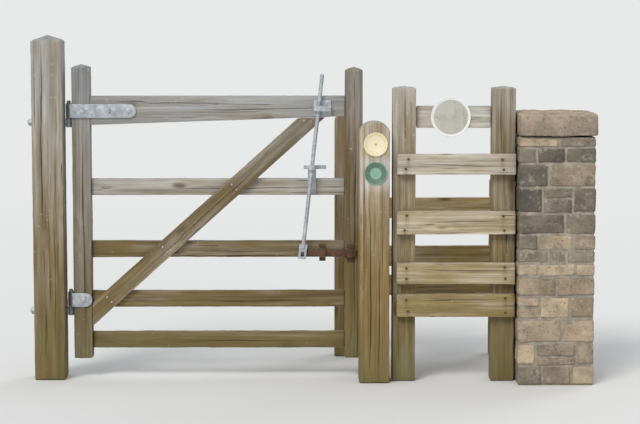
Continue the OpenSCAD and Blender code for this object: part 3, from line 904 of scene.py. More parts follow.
# %% Stiles and rails
TENON_THICK, TENON_SHOULDER = 22 * MM, 8 * MM
LOWER_RAIL_THICK = 32 * MM
TOP_RAIL_HEEL, TOP_RAIL_HEAD = 121 * MM, 85 * MM
HOUSED = 3 * MM             # how far worn ends reach into the timber that they meet
heel_low, heel_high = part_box("leaf_heel_stile")
head_low, head_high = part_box("leaf_head_stile")
top_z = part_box("leaf_top_rail")[1].z
inner_l = head_low.x - heel_high.x
mid_y = (heel_low.y + heel_high.y) / 2


def stile(node, seed, **finish):
    """An upright of the leaf, with a low pointed top."""
    axes, height, width, thick = box_axes(node, "Z")
    cracks = [split(3, 0.2, 0.15, height - 0.25), split(1, -0.2, 0.3, height - 0.1)]
    top = pointed(height, width, thick, STILE_POINT)
    sawn = saw(axes, height, width, thick, seed, arris=4 * MM, end=top, cracks=cracks)
    print(node, "from", round(axes[0].z, 3), "high", round(height, 3))
    timber(node, [sawn], "grey_timber", "leaf", damp=0.12, **finish)


def rail_axes(x, z):
    """A rail's start and directions: along the leaf, up it, and out to its front."""
    return Vector((x, mid_y, z)), Vector((1, 0, 0)), Vector((0, 0, 1)), Vector((0, -1, 0))


def tenons(low, high, seed):
    """The two tenon ends of a rail, from inside each stile to its outer edge."""
    z0, z1 = low + TENON_SHOULDER, high - TENON_SHOULDER
    parts = []
    for x0, x1 in ((heel_low.x, heel_high.x), (head_low.x, head_high.x)):
        axes = rail_axes(x0, (z0 + z1) / 2)
        parts.append(saw(axes, x1 - x0, z1 - z0, TENON_THICK, seed, arris=1 * MM, step=10 * MM))
        seed += 1
    return parts


def lower_rail(number, silvered, lightness):
    """One of the four thin rails, with its tenons."""
    node, seed = f"leaf_rail_{number}", 29 + number
    low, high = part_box(node)
    axes = rail_axes(heel_high.x - HOUSED, (low.z + high.z) / 2)
    cracks = [split(1, 0.25, 0.3, 0.95, 0.6), split(3, -0.3, 0.1, 0.6, 0.5)]
    sawn = saw(axes, inner_l + 2 * HOUSED, high.z - low.z, LOWER_RAIL_THICK, seed, arris=3.5 * MM,
               cracks=cracks)
    timber(node, [sawn] + tenons(low.z, high.z, seed + 50), "leaf_timber", "leaf",
           silver=(silvered, silvered), light=(lightness, lightness))


def top_rail_taper(along):
    """Lower and upper edge of the top rail about its middle height, at a distance along."""
    depth = TOP_RAIL_HEEL + (TOP_RAIL_HEAD - TOP_RAIL_HEEL) * (along - HOUSED) / inner_l
    return TOP_RAIL_HEEL / 2 - depth, along * 0 + TOP_RAIL_HEEL / 2


def top_rail():
    """The thick rail, whose underside rises towards the head stile."""
    axes = rail_axes(heel_high.x - HOUSED, top_z - TOP_RAIL_HEEL / 2)
    cracks = [split(1, 0.1, 0.45, 1.0, 0.8), split(1, -0.45, 0.2, 0.6, 0.5), split(0, 0.1, 0.2, 0.9)]
    sawn = saw(axes, inner_l + 2 * HOUSED, TOP_RAIL_HEEL, heel_high.y - heel_low.y, 24,
               taper=top_rail_taper, cracks=cracks)
    timber("leaf_top_rail", [sawn] + tenons(top_z - TOP_RAIL_HEAD, top_z, 74), "grey_timber", "leaf",
           silver=(0.95, 1.06), light=(0.84, 0.88), damp=0.2)


stile("leaf_heel_stile", 21, worn=2.4 * MM, silver=(0.25, 1.2), light=(0.72, 0.82))
# The head stile is kept browner and darker, partly as painted shade from the near clapping post.
stile("leaf_head_stile", 22, silver=(-0.04, 0.62), light=(0.82, 0.64))
top_rail()
# How silver and how light each lower rail is. Rails 3 to 5 are darker and browner than rail 2,
# and for rail 3 the darkness is partly painted shade.
lower_rail_looks_with_painted_shade = {2: (0.8, 0.97), 3: (0.12, 0.76), 4: (0.0, 0.76), 5: (0.0, 0.78)}
for number, (silvered, lightness) in lower_rail_looks_with_painted_shade.items():
    lower_rail(number, silvered, lightness)
print("rails made, tenoned over", round(inner_l, 3), "m")

# %% [markdown]
# ## The brace
# The brace meets the heel stile low down and the slanting underside of the top rail. Its
# two ends are cut to those faces, so each cut is a straight line in the brace's own
# section. Two nails hold it where it crosses each of three rails.

# %% Brace
BRACE_WIDTH, BRACE_FOOT_Z, BRACE_HEAD_INSET = 75 * MM, 263 * MM, 135 * MM
BRACE_NAIL_ACROSS = 14 * MM
brace_run = head_low.x - BRACE_HEAD_INSET - heel_high.x
top_slope = (TOP_RAIL_HEEL - TOP_RAIL_HEAD) / inner_l
under_heel = top_z - TOP_RAIL_HEEL      # the top rail's underside, where it leaves the heel stile
brace_rise = under_heel + top_slope * brace_run - BRACE_FOOT_Z
brace_l = math.hypot(brace_run, brace_rise)
brace_cos, brace_sin = brace_run / brace_l, brace_rise / brace_l


def brace_line(z, across):
    """A place on the brace's middle line at a height, shifted across it."""
    x = heel_high.x + brace_run * (z - BRACE_FOOT_Z) / brace_rise
    return Vector((x - across * brace_sin, heel_low.y, z + across * brace_cos))


def brace():
    """The brace, cut to the heel stile's edge and to the underside of the top rail."""
    low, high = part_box("leaf_brace")
    axes = (Vector((heel_high.x, (low.y + high.y) / 2, BRACE_FOOT_Z)), Vector((brace_cos, 0, brace_sin)),
            Vector((-brace_sin, 0, brace_cos)), Vector((0, -1, 0)))
    height = under_heel - BRACE_FOOT_Z
    steep = brace_sin - top_slope * brace_cos
    foot_cut = (lambda v, w: v * brace_sin / brace_cos - HOUSED)
    head_cut = (lambda v, w: (height - (top_slope * brace_sin + brace_cos) * v) / steep + HOUSED)
    sawn = saw(axes, brace_l, BRACE_WIDTH, high.y - low.y, 25, arris=3 * MM, start=foot_cut,
               end=head_cut, cracks=[split(1, 0.2, 0.3, 1.0, 0.6)])
    timber("leaf_brace", [sawn], "leaf_timber", "leaf", silver=(0.1, 0.62), light=(0.86, 0.71), damp=0.25,
           nails=brace_nails, ribs=0.9 * MM)


brace_nails = []
for rail_number in (2, 3, 4):
    rail_low, rail_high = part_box(f"leaf_rail_{rail_number}")
    for across in (-BRACE_NAIL_ACROSS, BRACE_NAIL_ACROSS):
        brace_nails.append(brace_line((rail_low.z + rail_high.z) / 2, across))
brace()
print("brace", round(brace_l, 3), "m long, with", len(brace_nails), "nails")

# %% [markdown]
# ## The panel and the pocket
# Four boards are nailed over the faces of two posts, and the pocket's rails run behind
# them. Each board end holds two nails, placed by a loop, and rust has run down
# from them. The same list places the nail heads further down.

# %% Boards and pocket rails
NAIL_INSET, NAIL_STRAY = 22 * MM, 9     # from the board's edge, and how many mm a nail strays


def board_nails(node, posts):
    """Two nails for each post that a board crosses, near its upper and lower edge."""
    low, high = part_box(node)
    draw = np.random.default_rng(int(high.z * 1000))
    nails = []
    for post_node in posts:
        post_low, post_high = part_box(post_node)
        middle = (max(post_low.x, low.x) + min(post_high.x, high.x)) / 2
        for z in (low.z + NAIL_INSET, high.z - NAIL_INSET):
            aside, up = draw.uniform(-NAIL_STRAY, NAIL_STRAY, 2) * MM
            nails.append(Vector((middle + aside, low.y, z + up * 0.5)))
    return nails


def flat_timber(node, along, seed, silvered, lightness, nails=(), cracks=(), **finish):
    """A board or a rail from its CAD box, drawn finer where nails have stained it."""
    axes, length, width, thick = box_axes(node, along)
    step = 7 * MM if nails else 9 * MM
    sawn = saw(axes, length, width, thick, seed, arris=3 * MM, step=step, cracks=cracks)
    timber(node, [sawn], "panel_timber", silver=(silvered, silvered), light=(lightness, lightness),
           nails=nails, **finish)


# How silver and how light each board and each rear rail is, from the top down. The rear
# rails are made much lighter than the boards: painted light, to make up for the shade that
# the panel casts on them.
board_looks = {1: (0.66, 1.34), 2: (0.32, 1.46), 3: (0.18, 1.4), 4: (0.06, 1.26)}
rear_looks_with_painted_light = {1: (0.3, 1.85), 2: (0.12, 1.75), 3: (0.06, 1.5)}
nails_by_board = {}
for number, (silvered, lightness) in board_looks.items():
    node = f"panel_board_{number}"
    nails_by_board[node] = board_nails(node, ("panel_left_post", "panel_right_post"))
    flat_timber(node, "X", 40 + number, silvered, lightness, nails_by_board[node],
                [split(1, 0.3 - 0.2 * number, 0.12, 0.42, 0.6)], damp=0.1, waves=2.2 * MM)
flat_timber("panel_top_rail", "X", 45, 0.82, 1.4, cracks=[split(1, 0.2, 0.05, 0.28, 0.5)], damp=0.3)
for number, (silvered, lightness) in rear_looks_with_painted_light.items():
    node = f"rear_rail_{number}"
    nails_by_board[node] = board_nails(node, ("far_clapping_post", "rear_corner_post"))
    flat_timber(node, "X", 50 + number, silvered, lightness, nails_by_board[node], damp=0.1)
    flat_timber(f"end_rail_{number}", "Y", 55 + number, silvered, 1.0, damp=0.3)
print("boards", sorted(nails_by_board))

# %% [markdown]
# ## Galvanised and rusty steel
# Hot-dip galvanising leaves a skin of zinc crystals, dull and blue-grey after some years,
# with a chalky bloom where water stands. The latch's bolt was left bare, and has rusted
# dark brown; that dark colour also paints in the shade round the bolt, under the third rail.
# Both finishes are layers of noise over the object's own coordinates.

# %% Steel finishes


def galvanised():
    """Zinc in crystals, with a pale bloom and a few rusty specks."""
    material, tree, shader, place = new_finish("dull_zinc")
    crystals = add(tree, "ShaderNodeTexVoronoi", {"Vector": place, "Scale": 85.0})
    bloom = noise(tree, place, 38.0, 4.0, 0.65)
    speck = noise(tree, place, 260.0, 2.0, 0.6)
    rusted = product(tree, spread(tree, noise(tree, place, 21.0, 4.0, 0.7), 0.6, 0.72),
                     spread(tree, speck, 0.45, 0.6), 0.75)
    zinc = blend(tree, chance_of(tree, crystals), tone(150, 156, 163), tone(178, 183, 188))
    colour = coats(tree, zinc, (spread(tree, bloom, 0.46, 0.68), tone(200, 204, 206)),
                   (rusted, tone(126, 92, 64)))
    relief = weighted(tree, (bloom, 0.0004), (speck, 0.00012))
    fill(tree, shader, {"Base Color": colour, "Roughness": spread(tree, bloom, 0.3, 0.7, 0.42, 0.66),
                        "Metallic": 0.25, "Normal": bumps(tree, relief)})
    return material


def rust_and_painted_shade():
    """Bare iron under dark scale, with brighter grit of rust. On the latch's bolt and its guides its
    darkness is also painted shade.
    """
    material, tree, shader, place = new_finish("dark_rust")
    scale = noise(tree, place, 60.0, 5.0, 0.7)
    grit = noise(tree, place, 420.0, 2.0, 0.6)
    colour = coats(tree, tone(58, 47, 42), (spread(tree, scale, 0.35, 0.62), tone(104, 72, 50)),
                   (spread(tree, grit, 0.56, 0.7, 0.0, 0.6), tone(142, 96, 60)))
    relief = weighted(tree, (scale, 0.0009), (grit, 0.0002))
    fill(tree, shader, {"Base Color": colour, "Roughness": 0.78, "Metallic": 0.15,
                        "Normal": bumps(tree, relief)})
    return material


metals = {"galvanised_steel": galvanised(), "rusty_steel": rust_and_painted_shade()}
print("metals", sorted(metals))

# %% [markdown]
# ## Parts turned and parts bent
# Ironwork comes in two kinds of shape. Pins, eyes, bosses and washers are turned, so they
# are profiles swept round a line. Straps, plates and guides are cut or bent from flat bar,
# so they are outlines given a thickness and a small bevel. Two helpers make both, and a
# third joins what belongs to one piece.

# %% Turning and bending


def turned(profile, origin, direction, steps=32):
    """A closed profile of (radius, distance) swept round a line. Points on the line are poles."""
    shape = bmesh.new()
    turn = Vector(direction).to_track_quat("Z", "Y").to_matrix()
    rings = []
    for radius, distance in profile:
        if radius == 0:
            rings.append([shape.verts.new(Vector(origin) + turn @ Vector((0, 0, distance)))])
            continue
        ring = []
        for k in range(steps):
            angle = 2 * math.pi * k / steps
            offset = Vector((radius * math.cos(angle), radius * math.sin(angle), distance))
            ring.append(shape.verts.new(Vector(origin) + turn @ offset))
        rings.append(ring)
    closed = profile[0][0] != 0
    for k in range(len(rings) if closed else len(rings) - 1):
        one, two = rings[k], rings[(k + 1) % len(rings)]
        for i in range(steps):
            n = (i + 1) % steps
            corners = [one[i % len(one)], one[n % len(one)], two[n % len(two)], two[i % len(two)]]
            shape.faces.new(list(dict.fromkeys(corners)))
    return shape


def rod_profile(radius, length, edge):
    """A solid pin with rounded ends."""
    return [(0, 0), (radius - edge, 0), (radius - edge * 0.3, edge * 0.3), (radius, edge),
            (radius, length - edge), (radius - edge * 0.3, length - edge * 0.3), (radius - edge, length),
            (0, length)]


def ring_profile(inner, outer, length, edge):
    """A tube with rounded rims, such as a hinge's eye."""
    return [(inner, edge), (inner + edge, 0), (outer - edge, 0), (outer, edge), (outer, length - edge),
            (outer - edge, length), (inner + edge, length), (inner, length - edge)]


def soften_edges(shape, angle, size):
    """A small bevel along every edge that is sharper than the angle."""
    sharp = [edge for edge in shape.edges if edge.calc_face_angle(0) > math.radians(angle)]
    bmesh.ops.bevel(shape, geom=sharp, offset=size, segments=2, profile=0.6, affect="EDGES",
                    clamp_overlap=True)


def cut_plate(outline, low, high, plane="XZ", edge=0.8 * MM):
    """An outline in the X and Z or the Y and Z plane, given a thickness and a small bevel."""
    shape = bmesh.new()
    order = {"XZ": (lambda p, t: (p[0], t, p[1])), "YZ": (lambda p, t: (t, p[0], p[1]))}[plane]
    front = [shape.verts.new(order(p, low)) for p in outline]
    back = [shape.verts.new(order(p, high)) for p in outline]
    shape.faces.new(front)
    shape.faces.new(back[::-1])
    for k in range(len(outline)):
        n = (k + 1) % len(outline)
        shape.faces.new((front[n], front[k], back[k], back[n]))
    bmesh.ops.recalc_face_normals(shape, faces=shape.faces)
    soften_edges(shape, 30, edge)
    return shape


def rectangle(x0, x1, z0, z1):
    """Four corners, in order."""
    return [(x0, z0), (x1, z0), (x1, z1), (x0, z1)]


def assemble(name, shapes, material, body, slot, *nodes, soft_angle=40):
    """Joins finished shapes into one piece that stands for its CAD nodes."""
    whole = bmesh.new()
    for shape in shapes:
        bmesh.ops.recalc_face_normals(shape, faces=shape.faces)
        part = bpy.data.meshes.new("part")
        shape.to_mesh(part)
        shape.free()
        whole.from_mesh(part)
        bpy.data.meshes.remove(part)
    mesh = bpy.data.meshes.new(name)
    whole.to_mesh(mesh)
    whole.free()
    mesh.shade_smooth()
    mesh.set_sharp_from_angle(angle=math.radians(soft_angle))
    mesh.materials.append(material)
    belongs(put(name, mesh), body, slot, *nodes)
    print(name, len(mesh.polygons), "faces")


def ironwork(name, shapes, body, node, slot="galvanised_steel", soft_angle=40):
    """A piece of one metal that stands for one CAD node."""
    assemble(name, shapes, metals[slot], body, slot, node, soft_angle=soft_angle)


print("turning and bending ready")

# %% [markdown]
# ## Hinges
# Each hook is a forged pin on a shank that is bolted right through the hanging post.
# The strap's two arms clasp the leaf and bend in to an eye that turns on the pin.

# %% Hinges
PIN_R, PIN_PLAY, EYE_WALL, SHANK_R, SHANK_DROP = 8 * MM, 0.1 * MM, 4.4 * MM, 9 * MM, 20 * MM
EYE_R = PIN_R + PIN_PLAY + EYE_WALL
POST_HALF = 65 * MM
WASHER_R, WASHER_T = 20 * MM, 3 * MM
NUT_R, NUT_H, NUT_REACH = 17 * MM, 14.5 * MM, 14 * MM       # it stands out by its reach
COLLAR_R, COLLAR_T = 15 * MM, 4 * MM
EYE_GAP = 0.3 * MM          # between the strap's eye and the seat that it turns on
ARM_SET_IN = 0.3 * MM       # how far the strap's arms stay below the top of its eye
STRAP_T, BEND_INSIDE = 6 * MM, 1 * MM
hinge_axis = Vector((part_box("upper_hinge_strap")[0].x + EYE_R, mid_y, 0))


def nut(x, y, z, radius, height, direction):
    """A hexagon nut with its corners turned down."""
    profile = [(0, 0), (radius * 0.9, 0), (radius, radius * 0.1), (radius, height - radius * 0.1),
               (radius * 0.9, height), (0, height)]
    return turned(profile, (x, y, z), direction, 6)


def make_hook(node, strap_node):
    """A pin and its seat, on a shank that runs through the post to a washer and a nut."""
    strap_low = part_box(strap_node)[0]
    low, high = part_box(node)
    x, y, shank_z = hinge_axis.x, hinge_axis.y, strap_low.z - SHANK_DROP
    washer_x, pin_foot = -POST_HALF - WASHER_T, shank_z - 2 * MM
    seat = rod_profile(EYE_R, strap_low.z - EYE_GAP - low.z, 2.5 * MM)
    along, up = (1, 0, 0), (0, 0, 1)
    shapes = [
        turned(rod_profile(SHANK_R, x - low.x, 1.5 * MM), (low.x, y, shank_z), along),
        turned(rod_profile(WASHER_R, WASHER_T, 0.8 * MM), (washer_x, y, shank_z), along),
        nut(washer_x - NUT_REACH, y, shank_z, NUT_R, NUT_H, along),
        turned(rod_profile(COLLAR_R, COLLAR_T, 1.2 * MM), (POST_HALF, y, shank_z), along),
        turned(seat, (x, y, low.z), up),
        turned(rod_profile(PIN_R, high.z - pin_foot, 2.5 * MM), (x, y, pin_foot), up),
    ]
    ironwork(node + "_forged", shapes, "gateway", node)


def arm_stations(x_end, reach, round_end):
    """An arm in plan, from its round end to the eye: outer and inner place, and half its height.

    Each place is an X and a distance from the leaf's middle plane. The bar lies along the
    timber, then bends in and runs on as a tangent to the eye, into which it is forged."""
    arm = []
    for angle in (88, 80, 70, 60, 45, 30, 15, 0):
        turn = math.radians(angle)
        x = x_end - round_end + round_end * math.sin(turn)
        arm.append(((x, reach), (x, reach - STRAP_T), round_end * math.cos(turn)))
    bend = Vector((heel_low.x, reach - STRAP_T - BEND_INSIDE))
    eye = Vector((hinge_axis.x, 0))
    bend_r, eye_r = STRAP_T + BEND_INSIDE, EYE_R - 0.8 * MM
    to_eye = eye - bend
    facing = math.atan2(to_eye.y, to_eye.x) - math.acos((bend_r - eye_r) / to_eye.length)
    facing %= 2 * math.pi
    for angle in np.linspace(math.pi / 2, facing, 6):
        way = Vector((math.cos(angle), math.sin(angle)))
        arm.append((tuple(bend + way * bend_r), tuple(bend + way * BEND_INSIDE), round_end))
    arm.append((tuple(eye + way * eye_r), tuple(eye + way * (PIN_R + PIN_PLAY + 0.5 * MM)), round_end))
    return arm


def strap_arm(side, x_end, reach, z0, z1):
    """One arm of the strap, as a bar swept through its stations. Side is -1 in front, 1 behind."""
    shape = bmesh.new()
    middle = (z0 + z1) / 2
    rings = []
    for outer, inner, half in arm_stations(x_end, reach, (z1 - z0) / 2):
        ring = []
        for (x, away), up in ((outer, -half), (outer, half), (inner, half), (inner, -half)):
            ring.append(shape.verts.new((x, mid_y + side * away, middle + up)))
        rings.append(ring)
    for one, two in zip(rings, rings[1:]):
        for k in range(4):
            n = (k + 1) % 4
            shape.faces.new((one[k], two[k], two[n], one[n]))
    shape.faces.new(rings[0])
    shape.faces.new(rings[-1][::-1])
    bmesh.ops.recalc_face_normals(shape, faces=shape.faces)
    soften_edges(shape, 50, 0.8 * MM)
    return shape


def make_strap(node):
    """The eye, and the two arms that clasp the leaf."""
    low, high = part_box(node)
    eye = ring_profile(PIN_R + PIN_PLAY, EYE_R, high.z - low.z, 1 * MM)
    shapes = [turned(eye, (hinge_axis.x, hinge_axis.y, low.z), (0, 0, 1))]
    for side in (-1, 1):
        shapes.append(strap_arm(side, high.x, high.y - mid_y, low.z, high.z - ARM_SET_IN))
    ironwork(node + "_bar", shapes, "leaf", node)


for level in ("upper", "lower"):
    make_hook(f"{level}_hinge_hook", f"{level}_hinge_strap")
    make_strap(f"{level}_hinge_strap")

# %% [markdown]
# ## The latch
# This latch can be worked from the saddle: the long lever turns on a spindle, and its
# forked foot slides the flat bolt. A looped guide on the top rail keeps the lever's upper
# half in line. The rod is a curve swept with a round section, which a Geometry Nodes
# tree does: it takes a line of points and gives back a rod with rounded tips.

# %% Rod tree and point pieces


def rod_tree():
    """A line of points swept with a round section, whose size follows each point's girth."""
    tree, given, output = new_tree("bent_rod", ("Radius",), ("Sides",))
    line = add(tree, "GeometryNodeMeshToCurve", {"Mesh": given["Geometry"]}).outputs[0]
    ring = {"Resolution": given["Sides"], "Radius": given["Radius"]}
    circle = add(tree, "GeometryNodeCurvePrimitiveCircle", ring).outputs[0]
    girth = field(tree, "girth")
    sized = add(tree, "GeometryNodeSetCurveRadius", {"Curve": line, "Radius": girth}).outputs[0]
    sweep = {"Curve": sized, "Profile Curve": circle, "Fill Caps": True}
    swept = add(tree, "GeometryNodeCurveToMesh", sweep)
    if "Scale" in swept.inputs:
        tree.links.new(girth, swept.inputs["Scale"])
    close_tree(tree, smoothed(tree, swept.outputs[0]), given["Material"], output)
    return tree


def point_piece(name, places, edges=(), **values):
    """Points, or a line of them, that carry values for a tree to use."""
    mesh = bpy.data.meshes.new(name)
    mesh.from_pydata([tuple(p) for p in places], list(edges), [])
    for key, numbers in values.items():
        store(mesh, key, numbers)
    return put(name, mesh)


print("rod tools ready")

# %% [markdown]
# ## The lever
# The lever leans over a little when it is at rest. So its fork is drawn in that lean: each
# corner is a distance beside the rod and a distance up from the pivot. The boss turns on
# the spindle, and the rod runs from the fork to a rounded tip.

# %% Latch lever
joints = {joint["name"]: joint for joint in frame["joints"]}
pivot = Vector(joints["lever_swing"]["pos_m"])
LEVER_R, LEVER_LEAN, LEVER_SWING = 8 * MM, math.radians(6.3), math.radians(7)
BOSS_R, BOSS_L, SPINDLE_R, FORK_W, FORK_T = 15 * MM, 17 * MM, 6 * MM, 32 * MM, 6 * MM
PEG_R, BOLT_Z = 5.5 * MM, 518 * MM
lever_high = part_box("latch_lever")[1]
lean_up = Vector((math.sin(LEVER_LEAN), 0, math.cos(LEVER_LEAN)))
lean_side = Vector((math.cos(LEVER_LEAN), 0, -math.sin(LEVER_LEAN)))
peg_reach = (pivot.z - BOLT_Z) / math.cos(LEVER_LEAN)
peg_reach_max = (pivot.z - BOLT_Z) / math.cos(LEVER_LEAN + LEVER_SWING)


def on_lever(side, up):
    """A place in the lever's own plane, as X and Z: beside its rod, and up from its pivot."""
    place = pivot + lean_side * side + lean_up * up
    return place.x, place.z


def fork_outline():
    """The outlines of a flat plate and of its slot, closed all round, which takes the bolt's peg."""
    half, slot = FORK_W / 2, PEG_R + 0.5 * MM
    shut, slot_top = -peg_reach_max - PEG_R, -peg_reach + PEG_R
    foot, top = shut - 10 * MM, shut + 50 * MM
    plate = [(-half, foot), (half, foot), (half, top), (-half, top)]
    return plate, [(-slot, shut), (slot, shut), (slot, slot_top), (-slot, slot_top)]


def slotted_plate(outer, inner, y0, y1):
    """A four-sided plate with a four-sided slot, as a ring of quads with thickness."""
    shape = bmesh.new()
    loops = []
    for outline in (outer, inner):
        flat = [on_lever(side, up) for side, up in outline]
        for y in (y0, y1):
            loops.append([shape.verts.new((x, y, z)) for x, z in flat])
    out_front, out_back, in_front, in_back = loops
    for k in range(4):
        n = (k + 1) % 4
        shape.faces.new((out_front[k], out_front[n], in_front[n], in_front[k]))
        shape.faces.new((out_back[k], in_back[k], in_back[n], out_back[n]))
        shape.faces.new((out_front[n], out_front[k], out_back[k], out_back[n]))
        shape.faces.new((in_front[k], in_front[n], in_back[n], in_back[k]))
    bmesh.ops.recalc_face_normals(shape, faces=shape.faces)
    soften_edges(shape, 30, 0.8 * MM)
    return shape


def swept_rod():
    """The lever's rod, from its fork to its rounded top, as one swept curve."""
    top = (lever_high.z - pivot.z) / math.cos(LEVER_LEAN) - LEVER_R * 0.2
    stops = np.linspace(-peg_reach + 24 * MM, top - LEVER_R, 26).tolist()
    girths = [1.0] * len(stops)
    for angle in (25, 45, 62, 76, 86):
        stops.append(top - LEVER_R + LEVER_R * math.sin(math.radians(angle)))
        girths.append(math.cos(math.radians(angle)))
    edges = [(k, k + 1) for k in range(len(stops) - 1)]
    rod = point_piece("lever_rod", [pivot + lean_up * stop for stop in stops], edges, girth=girths)
    run_tree(rod, rod_tree(), radius=LEVER_R, sides=20, material=metals["galvanised_steel"])
    shape = bmesh.new()
    shape.from_mesh(rod.data)
    bpy.data.objects.remove(rod)
    return shape


boss = ring_profile(SPINDLE_R + 0.1 * MM, BOSS_R, BOSS_L, 1.5 * MM)
lever_shapes = [
    swept_rod(),
    turned(boss, pivot - Vector((0, BOSS_L / 2, 0)), (0, 1, 0)),
    slotted_plate(*fork_outline(), pivot.y - FORK_T / 2, pivot.y + FORK_T / 2),
]
ironwork("latch_lever_rod", lever_shapes, "lever", "latch_lever", soft_angle=50)

# %% [markdown]
# ## Guide, bracket and bolt
# The guide is a plate with a loop of flat bar. The bracket is a cross-shaped plate with
# the spindle. The bolt is a flat bar that runs in two straps bent round it.

# %% Guide, bracket and bolt
SET_IN = 0.3 * MM           # how far a welded bar stays behind the edges that it meets
GUIDE_PLATE, LOOP_BAR, LOOP_RISE, LOOP_HEIGHT = 4 * MM, 5 * MM, 22 * MM, 22 * MM
BRACKET_T, STEM_HALF, ARM_HALF = 6 * MM, 17 * MM, 8 * MM
SLEEVE_R, CAP_R, CAP_T, SPINDLE_GAP = 11 * MM, 10 * MM, 5 * MM, 0.3 * MM
BOLT_T, RAIL_GUIDE_L, STILE_GUIDE_L = 8 * MM, 26 * MM, 24 * MM


def make_guide():
    """A plate on the top rail, with a loop of flat bar that the lever runs in."""
    low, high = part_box("lever_guide")
    face = heel_low.y
    z0 = low.z + LOOP_RISE
    z1 = z0 + LOOP_HEIGHT
    shapes = [cut_plate(rectangle(low.x, high.x, low.z, high.z), face - GUIDE_PLATE, face)]
    for x in (low.x + SET_IN, high.x - LOOP_BAR):
        arm = rectangle(x, x + LOOP_BAR - SET_IN, z0 + SET_IN, z1 - SET_IN)
        shapes.append(cut_plate(arm, low.y + LOOP_BAR - 1 * MM, face - GUIDE_PLATE + 1 * MM))
    shapes.append(cut_plate(rectangle(low.x, high.x, z0, z1), low.y, low.y + LOOP_BAR))
    ironwork("lever_guide_loop", shapes, "leaf", "lever_guide")


def make_bracket():
    """A plate in the form of a cross, with a sleeve and the lever's spindle."""
    low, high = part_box("lever_bracket")
    x, face, forward = pivot.x, high.y, (0, 1, 0)
    top, under = pivot.z + ARM_HALF, pivot.z - ARM_HALF
    outline = [(x - STEM_HALF, low.z), (x + STEM_HALF, low.z), (x + STEM_HALF, under), (high.x, under),
               (high.x, top), (low.x, top), (low.x, under), (x - STEM_HALF, under)]
    sleeve_end = pivot.y + BOSS_L / 2 + SPINDLE_GAP
    spindle_end = pivot.y - BOSS_L / 2 - SPINDLE_GAP
    spindle = rod_profile(SPINDLE_R, face - spindle_end + 3 * MM, 1 * MM)
    shapes = [
        cut_plate(outline, face - BRACKET_T, face),
        turned(rod_profile(SLEEVE_R, face - sleeve_end, 1 * MM), (x, sleeve_end, pivot.z), forward),
        turned(spindle, (x, spindle_end - 4 * MM, pivot.z), forward),
        turned(rod_profile(CAP_R, CAP_T, 1.6 * MM), (x, spindle_end - CAP_T, pivot.z), forward),
    ]
    ironwork("lever_bracket_plate", shapes, "leaf", "lever_bracket")


def bent_guide(x0, x1, face, bolt_low, bolt_high):
    """A strap bent round the bolt, seen from its end: foot, arm, front, arm and foot."""
    bar, foot, room = 4 * MM, 20 * MM, 1 * MM
    z0, z1 = bolt_low.z - room, bolt_high.z + room
    front = bolt_low.y - room - bar
    upper = [(face, z1 + foot), (face - bar, z1 + foot), (face - bar, z1 + bar), (front, z1 + bar)]
    lower = [(front, z0 - bar), (face - bar, z0 - bar), (face - bar, z0 - foot), (face, z0 - foot)]
    inside = [(face, z0), (front + bar, z0), (front + bar, z1), (face, z1)]
    return cut_plate(upper + lower + inside, x0, x1, "YZ", 0.7 * MM)


def make_bolt():
    """The flat bolt with its peg, and its two guides on the rail and on the heel stile's face."""
    low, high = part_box("latch_bolt")
    guide_low, guide_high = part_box("bolt_guides")
    flat_low = Vector((low.x, high.y - BOLT_T, low.z))
    rail_face = mid_y - LOWER_RAIL_THICK / 2
    shapes = [
        bent_guide(guide_low.x, guide_low.x + RAIL_GUIDE_L, rail_face, flat_low, high),
        bent_guide(guide_high.x - STILE_GUIDE_L, guide_high.x, heel_low.y, flat_low, high),
    ]
    # Guides and bolt are dark rust, which also paints in the shade under the third rail.
    ironwork("bolt_guide_straps", shapes, "leaf", "bolt_guides", "rusty_steel")
    peg_x = pivot.x - (pivot.z - BOLT_Z) * math.tan(LEVER_LEAN)
    peg = rod_profile(PEG_R, flat_low.y - low.y + 2 * MM, 1.2 * MM)
    shapes = [
        cut_plate(rectangle(low.x, high.x, low.z, high.z), flat_low.y, high.y, edge=1.2 * MM),
        turned(peg, (peg_x, low.y, BOLT_Z), (0, 1, 0)),
    ]
    ironwork("latch_bolt_bar", shapes, "bolt", "latch_bolt", "rusty_steel")


make_guide()
make_bracket()
make_bolt()

# %% [markdown]
# ## Nails and bolts
# Every board is nailed and every strap is bolted. Placing each head by hand would take a
# page. One tree puts a domed head on every point of a mesh, tips it a little by
# chance, and makes the copies real. A second does the same for hexagon nuts.

# %% Fastener trees
SPIN = 3.0                  # radians that a head or a nut may be turned either way


def vector_of(tree, x, y, z):
    """A vector from three numbers."""
    return add(tree, "ShaderNodeCombineXYZ", {0: x, 1: y, 2: z}).outputs[0]


def facing_turn(tree, angles):
    """Aims a copy's Z along its point's direction, and gives it turns of its own."""
    facing = field(tree, "facing", "FLOAT_VECTOR")
    aimed = add(tree, "FunctionNodeAlignRotationToVector", {"Vector": facing}, axis="Z").outputs[0]
    own = add(tree, "FunctionNodeEulerToRotation", {0: angles}).outputs[0]
    return add(tree, "FunctionNodeRotateRotation", {0: aimed, 1: own}, rotation_space="LOCAL").outputs[0]


def copies(tree, places, shape, turn, **more):
    """A copy of the shape on every point."""
    inputs = {"Points": places, "Instance": shape, "Rotation": turn, **more}
    return add(tree, "GeometryNodeInstanceOnPoints", inputs).outputs[0]


